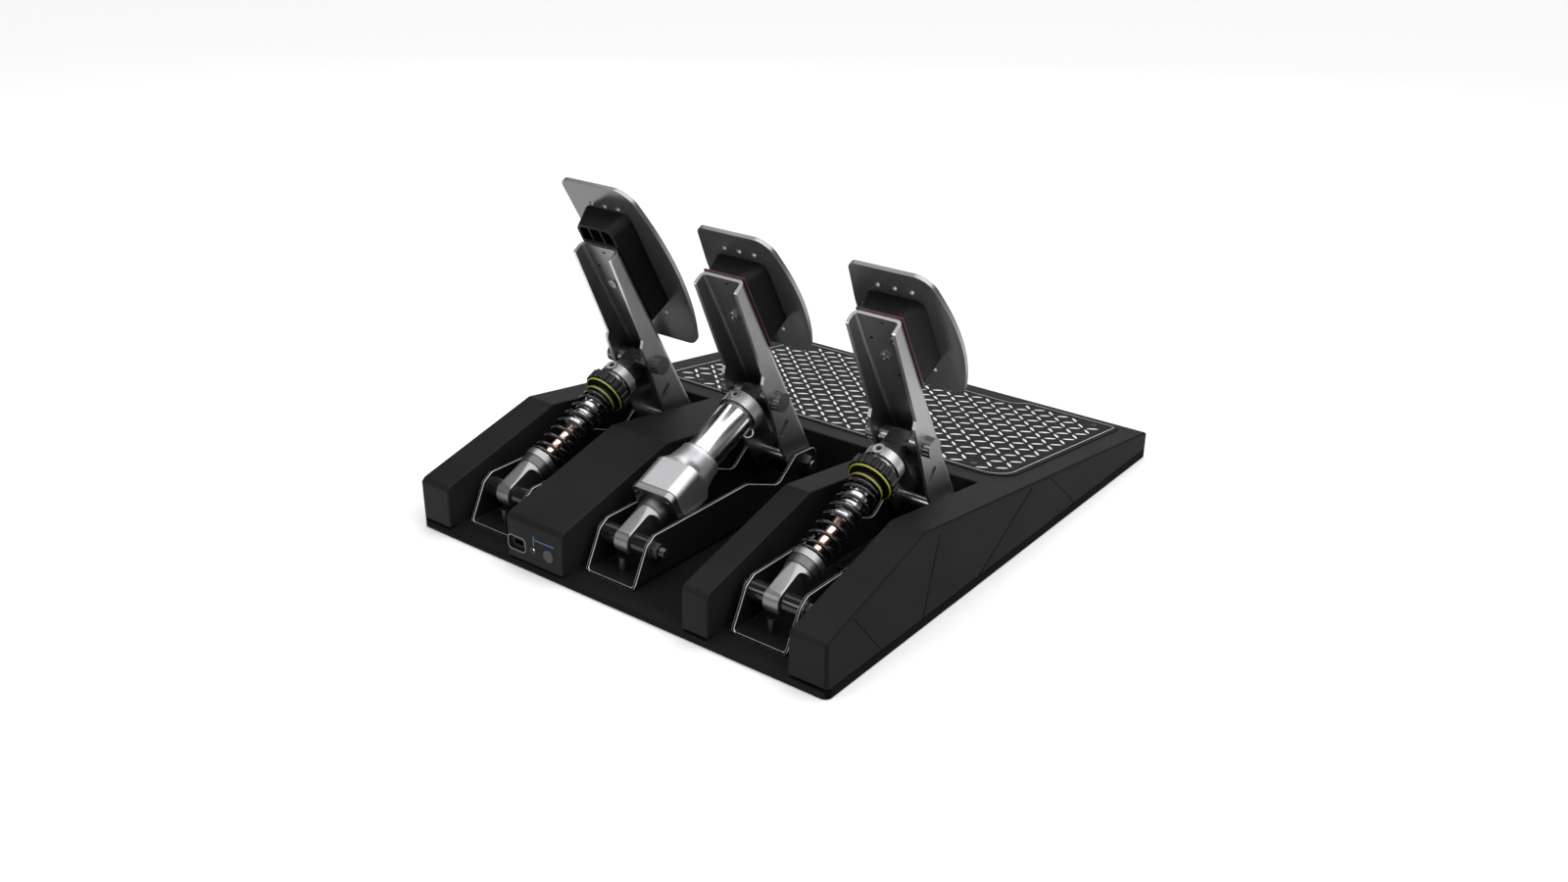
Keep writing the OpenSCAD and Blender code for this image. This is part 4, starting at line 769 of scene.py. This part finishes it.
def set_screw(pedal, along, up, radius):
    """Socket set screw in the upper side of a cap."""
    bm = bmesh.new()
    place = Matrix.Translation((0, up, along)) @ Matrix.Rotation(-QUARTER_TURN, 4, "X")
    hex_plug(bm, radius, SET_SCREW_LEN, radius * SET_SCREW_HEX, SET_SCREW_SOCKET, place)
    name, body = pedal + "_set_screw", pedal + "_strut_upper"
    placed(name, bm, strut_place(STATIONS[pedal]), "screw", body, "dark_screw", FIRM_SHADING)


def ring_mark(pedal, low, high, least, most=math.inf):
    """Second finish on a ring of the strut, between two heights and two radii."""
    inward = strut_place(STATIONS[pedal]).inverted()

    def mark(face):
        spot = inward @ face.calc_center_median() / MM
        return int(low < spot.z < high and least < math.hypot(spot.x, spot.y) < most)

    return mark


for pedal in COIL_PEDALS:
    sleeve = ring_mark(pedal, 0.0, math.inf, -1.0, SLEEVE_R)
    dressed(pedal + "_eye", "eye", 0.5, mark=ring_mark(pedal, *EYE_BAND), more=("band",))
    dressed(pedal + "_rod", "copper", 0.3)
    dressed(pedal + "_body", "barrel", 0.12)
    dressed(pedal + "_seat", "seat", 0.3, mark=sleeve, more=("collar",))
    dressed(pedal + "_collar", "collar", 0.3)
    dressed(pedal + "_head", "gunmetal", 0.45, mark=ring_mark(pedal, *HEAD_CAP), more=("cap",))
    coil_spring(pedal)
    collar_ring(pedal)
    set_screw(pedal, *SET_SCREW)

dressed("brake_eye", "eye", 0.6, mark=ring_mark("brake", *BRAKE_EYE_BAND), more=("band",))
dressed("brake_end_plate", "end", 0.6)


def housing_reach(way):
    """Distance from the middle of the housing to its flat-sided outline."""
    x, y = abs(way.x), abs(way.y)
    middle = Vector((HOUSING_HALF_W - HOUSING_CORNER, HOUSING_HALF_H - HOUSING_CORNER))
    if y * HOUSING_HALF_W <= x * middle.y:
        return HOUSING_HALF_W / x
    if x * HOUSING_HALF_H <= y * middle.x:
        return HOUSING_HALF_H / y
    near = x * middle.x + y * middle.y
    return near + math.sqrt(near * near - middle.length_squared + HOUSING_CORNER * HOUSING_CORNER)


def housing_form():
    """Housing of the brake: flat sides that run into a round neck, drawn up ring by ring and down the bore."""
    bm = bmesh.new()
    bmesh.ops.create_circle(bm, cap_ends=True, radius=1.0, segments=HOUSING_SIDES)
    face = list(bm.faces)[0]
    for i, (z, round_share, radius, scale) in enumerate(HOUSING_RINGS):
        if i:
            grown = bmesh.ops.extrude_face_region(bm, geom=[face])["geom"]
            if i > 1:
                bm.faces.remove(face)
            face = next(g for g in grown if isinstance(g, bmesh.types.BMFace))
        for v in face.verts:
            way = v.co.xy.normalized()
            reach = scale * housing_reach(way) * (1 - round_share) + radius * round_share
            v.co = (way.x * reach, way.y * reach, z)
    bmesh.ops.recalc_face_normals(bm, faces=bm.faces)
    node, place = "brake_housing", strut_place(STATIONS["brake"])
    piece = placed("brake_housing_form", bm, place, "housing", cad[node]["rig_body"], SLOTS[node], 35.0)
    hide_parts("brake_housing")


housing_form()
dressed("brake_load_cell", "cell", 0.4)
dressed("brake_tube", "chrome", 0.5)
dressed("brake_head", "gunmetal", 0.45, mark=ring_mark("brake", *BRAKE_HEAD_CAP), more=("cap",))
set_screw("brake", *BRAKE_SET_SCREW)


def tube_clip():
    """Bent wire clip on the chrome tube under its cap, on the low outer side."""
    bm = bmesh.new()
    bmesh.ops.create_circle(bm, cap_ends=False, radius=CLIP_WIRE_R, segments=CLIP_WIRE_SIDES)
    aside = Matrix.Translation((CLIP_BEND_R, 0, 0)) @ Matrix.Rotation(QUARTER_TURN, 4, "X")
    bmesh.ops.transform(bm, matrix=Matrix.Rotation(CLIP_START, 4, "Z") @ aside, verts=bm.verts)
    bmesh.ops.spin(
        bm, geom=bm.verts[:] + bm.edges[:], cent=(0, 0, 0), axis=(0, 0, 1), dvec=(0, 0, 0), angle=CLIP_ARC,
        steps=CLIP_STEPS, use_merge=False, use_normal_flip=False, use_duplicate=False,
    )
    close_tube(bm)
    out, along = Vector(CLIP_OUT), Vector((0, 0, 1))
    turn = Matrix((out, along, out.cross(along))).transposed().to_4x4()
    turn.translation = out * CLIP_REACH + along * CLIP_AT
    bmesh.ops.transform(bm, matrix=turn, verts=bm.verts)
    placed("brake_tube_clip", bm, strut_place(STATIONS["brake"]), "cap", "brake_strut_upper", "pin_gunmetal")


def elastomer_stack():
    """Two barrel-shaped rubber blocks, one on the other."""
    bm = bmesh.new()
    length = ELASTOMER_TOP - CELL_TOP
    block = length / 2
    ends = (ELASTOMER_GAP, block - ELASTOMER_GAP)
    outline = (
        (ELASTOMER_BORE, ends[0]), (ELASTOMER_R - 2, ends[0]), (ELASTOMER_R - 0.5, block * 0.25),
        (ELASTOMER_R, block / 2), (ELASTOMER_R - 0.5, block * 0.75), (ELASTOMER_R - 2, ends[1]),
        (ELASTOMER_BORE, ends[1]),
    )
    for low in (CELL_TOP, CELL_TOP + block):
        add_to(bm, turned([(r, low + z) for r, z in outline], 48))
    place = strut_place(STATIONS["brake"])
    piece = placed("brake_elastomer_stack", bm, place, "elastomer", "brake_strut_lower", "elastomer_rubber")
    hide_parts("brake_elastomer")
    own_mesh(piece)


def snap_rings():
    """Two thin rings on the chrome tube under its cap."""
    outline = ((16.0, 0.0), (16.8, 0.15), (16.8, 0.75), (16.0, 0.9))
    place = strut_place(STATIONS["brake"])
    for i, at in enumerate(RING_PLACES):
        bm = turned([(r, at + z) for r, z in outline], 96)
        placed(f"brake_snap_ring_{i}", bm, place, "end", "brake_strut_upper", "pin_gunmetal")


def foot_screws():
    """Socket screws under the end plate of the brake strut."""
    bm = bmesh.new()
    for x, y in ((-1, -1), (-1, 1), (1, -1), (1, 1)):
        at = Matrix.Translation((x * FOOT_SCREW_X, y * FOOT_SCREW_Y, FOOT_SCREW_AT))
        hex_plug(bm, *FOOT_SCREW, at @ Matrix.Rotation(HALF_TURN, 4, "X"))
    place = strut_place(STATIONS["brake"])
    placed("brake_foot_screws", bm, place, "screw", "brake_strut_lower", "dark_screw", FIRM_SHADING)


tube_clip()
elastomer_stack()
snap_rings()
foot_screws()

# Board inside the port ridge keeps its solid
cad["main_board"].data.materials.clear()
cad["main_board"].data.materials.append(F["board"])

# Floor, light and camera, in metres

FLOOR_HALF = 9.0
SKY_COLOUR, SKY_STRENGTH = (0.93, 0.94, 0.95, 1.0), 0.12
SUN_SPREAD, SUN_TILT, SUN_POWER = math.radians(80), math.radians(-14), 3.4
SOFT_BOXES = (
    ("side_box", (-1.7, 0.1, 0.8), (0, 0.05, 0.1), (0.7, 1.2), 9),
    ("front_box", (0.7, 1.7, 1.0), (0, 0.1, 0.1), (0.6, 0.6), 5),
    ("rim_box", (0.95, -1.45, 0.95), (0, 0, 0.05), (1.8, 0.9), 5.5),
    ("edge_box", (1.0, -0.05, 1.65), (0, 0.05, 0.15), (0.7, 0.7), 2),
)
CAMERA_AT = (-0.70763, 0.96082, 0.58993)
CAMERA_TURN = (217.25, 24.44, 0.43)
LENS_PX, FRAME_PX = 1488.7, 1600.0


def add_object(name, data):
    made = bpy.data.objects.new(name, data)
    bpy.context.scene.collection.objects.link(made)
    return made


floor_bm = bmesh.new()
bmesh.ops.create_grid(floor_bm, x_segments=1, y_segments=1, size=FLOOR_HALF)
floor_mesh = bpy.data.meshes.new("floor")
floor_bm.to_mesh(floor_mesh)
floor_bm.free()
floor_mesh.materials.append(finish("floor_pale", (0.86, 0.86, 0.86), rough=0.7, tone=0.0, grain=40, bump=0.0))
floor = add_object("floor", floor_mesh)

world = bpy.data.worlds.new("studio")
world.use_nodes = True
sky = world.node_tree.nodes["Background"]
sky.inputs["Color"].default_value = SKY_COLOUR
sky.inputs["Strength"].default_value = SKY_STRENGTH
bpy.context.scene.world = world

for name, place, aim, size, power in SOFT_BOXES:
    light = bpy.data.lights.new(name, "AREA")
    light.shape, light.size, light.size_y, light.energy = "RECTANGLE", size[0], size[1], power
    lamp = add_object(name, light)
    lamp.location = place
    lamp.rotation_euler = (Vector(place) - Vector(aim)).to_track_quat("Z", "Y").to_euler()

ceiling = bpy.data.lights.new("ceiling", "SUN")
ceiling.angle, ceiling.energy = SUN_SPREAD, SUN_POWER
add_object("ceiling", ceiling).rotation_euler = (0.0, SUN_TILT, 0.0)

azimuth, elevation, roll = (math.radians(a) for a in CAMERA_TURN)
flat = math.cos(elevation)
back = Vector((math.sin(azimuth) * flat, -math.cos(azimuth) * flat, math.sin(elevation)))
level = Vector((0, 0, 1)).cross(back).normalized()
upright = back.cross(level)
right = math.cos(roll) * level + math.sin(roll) * upright
up = math.cos(roll) * upright - math.sin(roll) * level
view = bpy.data.cameras.new("photo_view")
view.sensor_fit, view.sensor_width = "HORIZONTAL", 36.0
view.lens = LENS_PX / FRAME_PX * view.sensor_width
camera = add_object("photo_view", view)
camera.matrix_world = Matrix.Translation(CAMERA_AT) @ Matrix((right, up, back)).transposed().to_4x4()
bpy.context.scene.camera = camera
bpy.context.scene.view_settings.view_transform = "Standard"
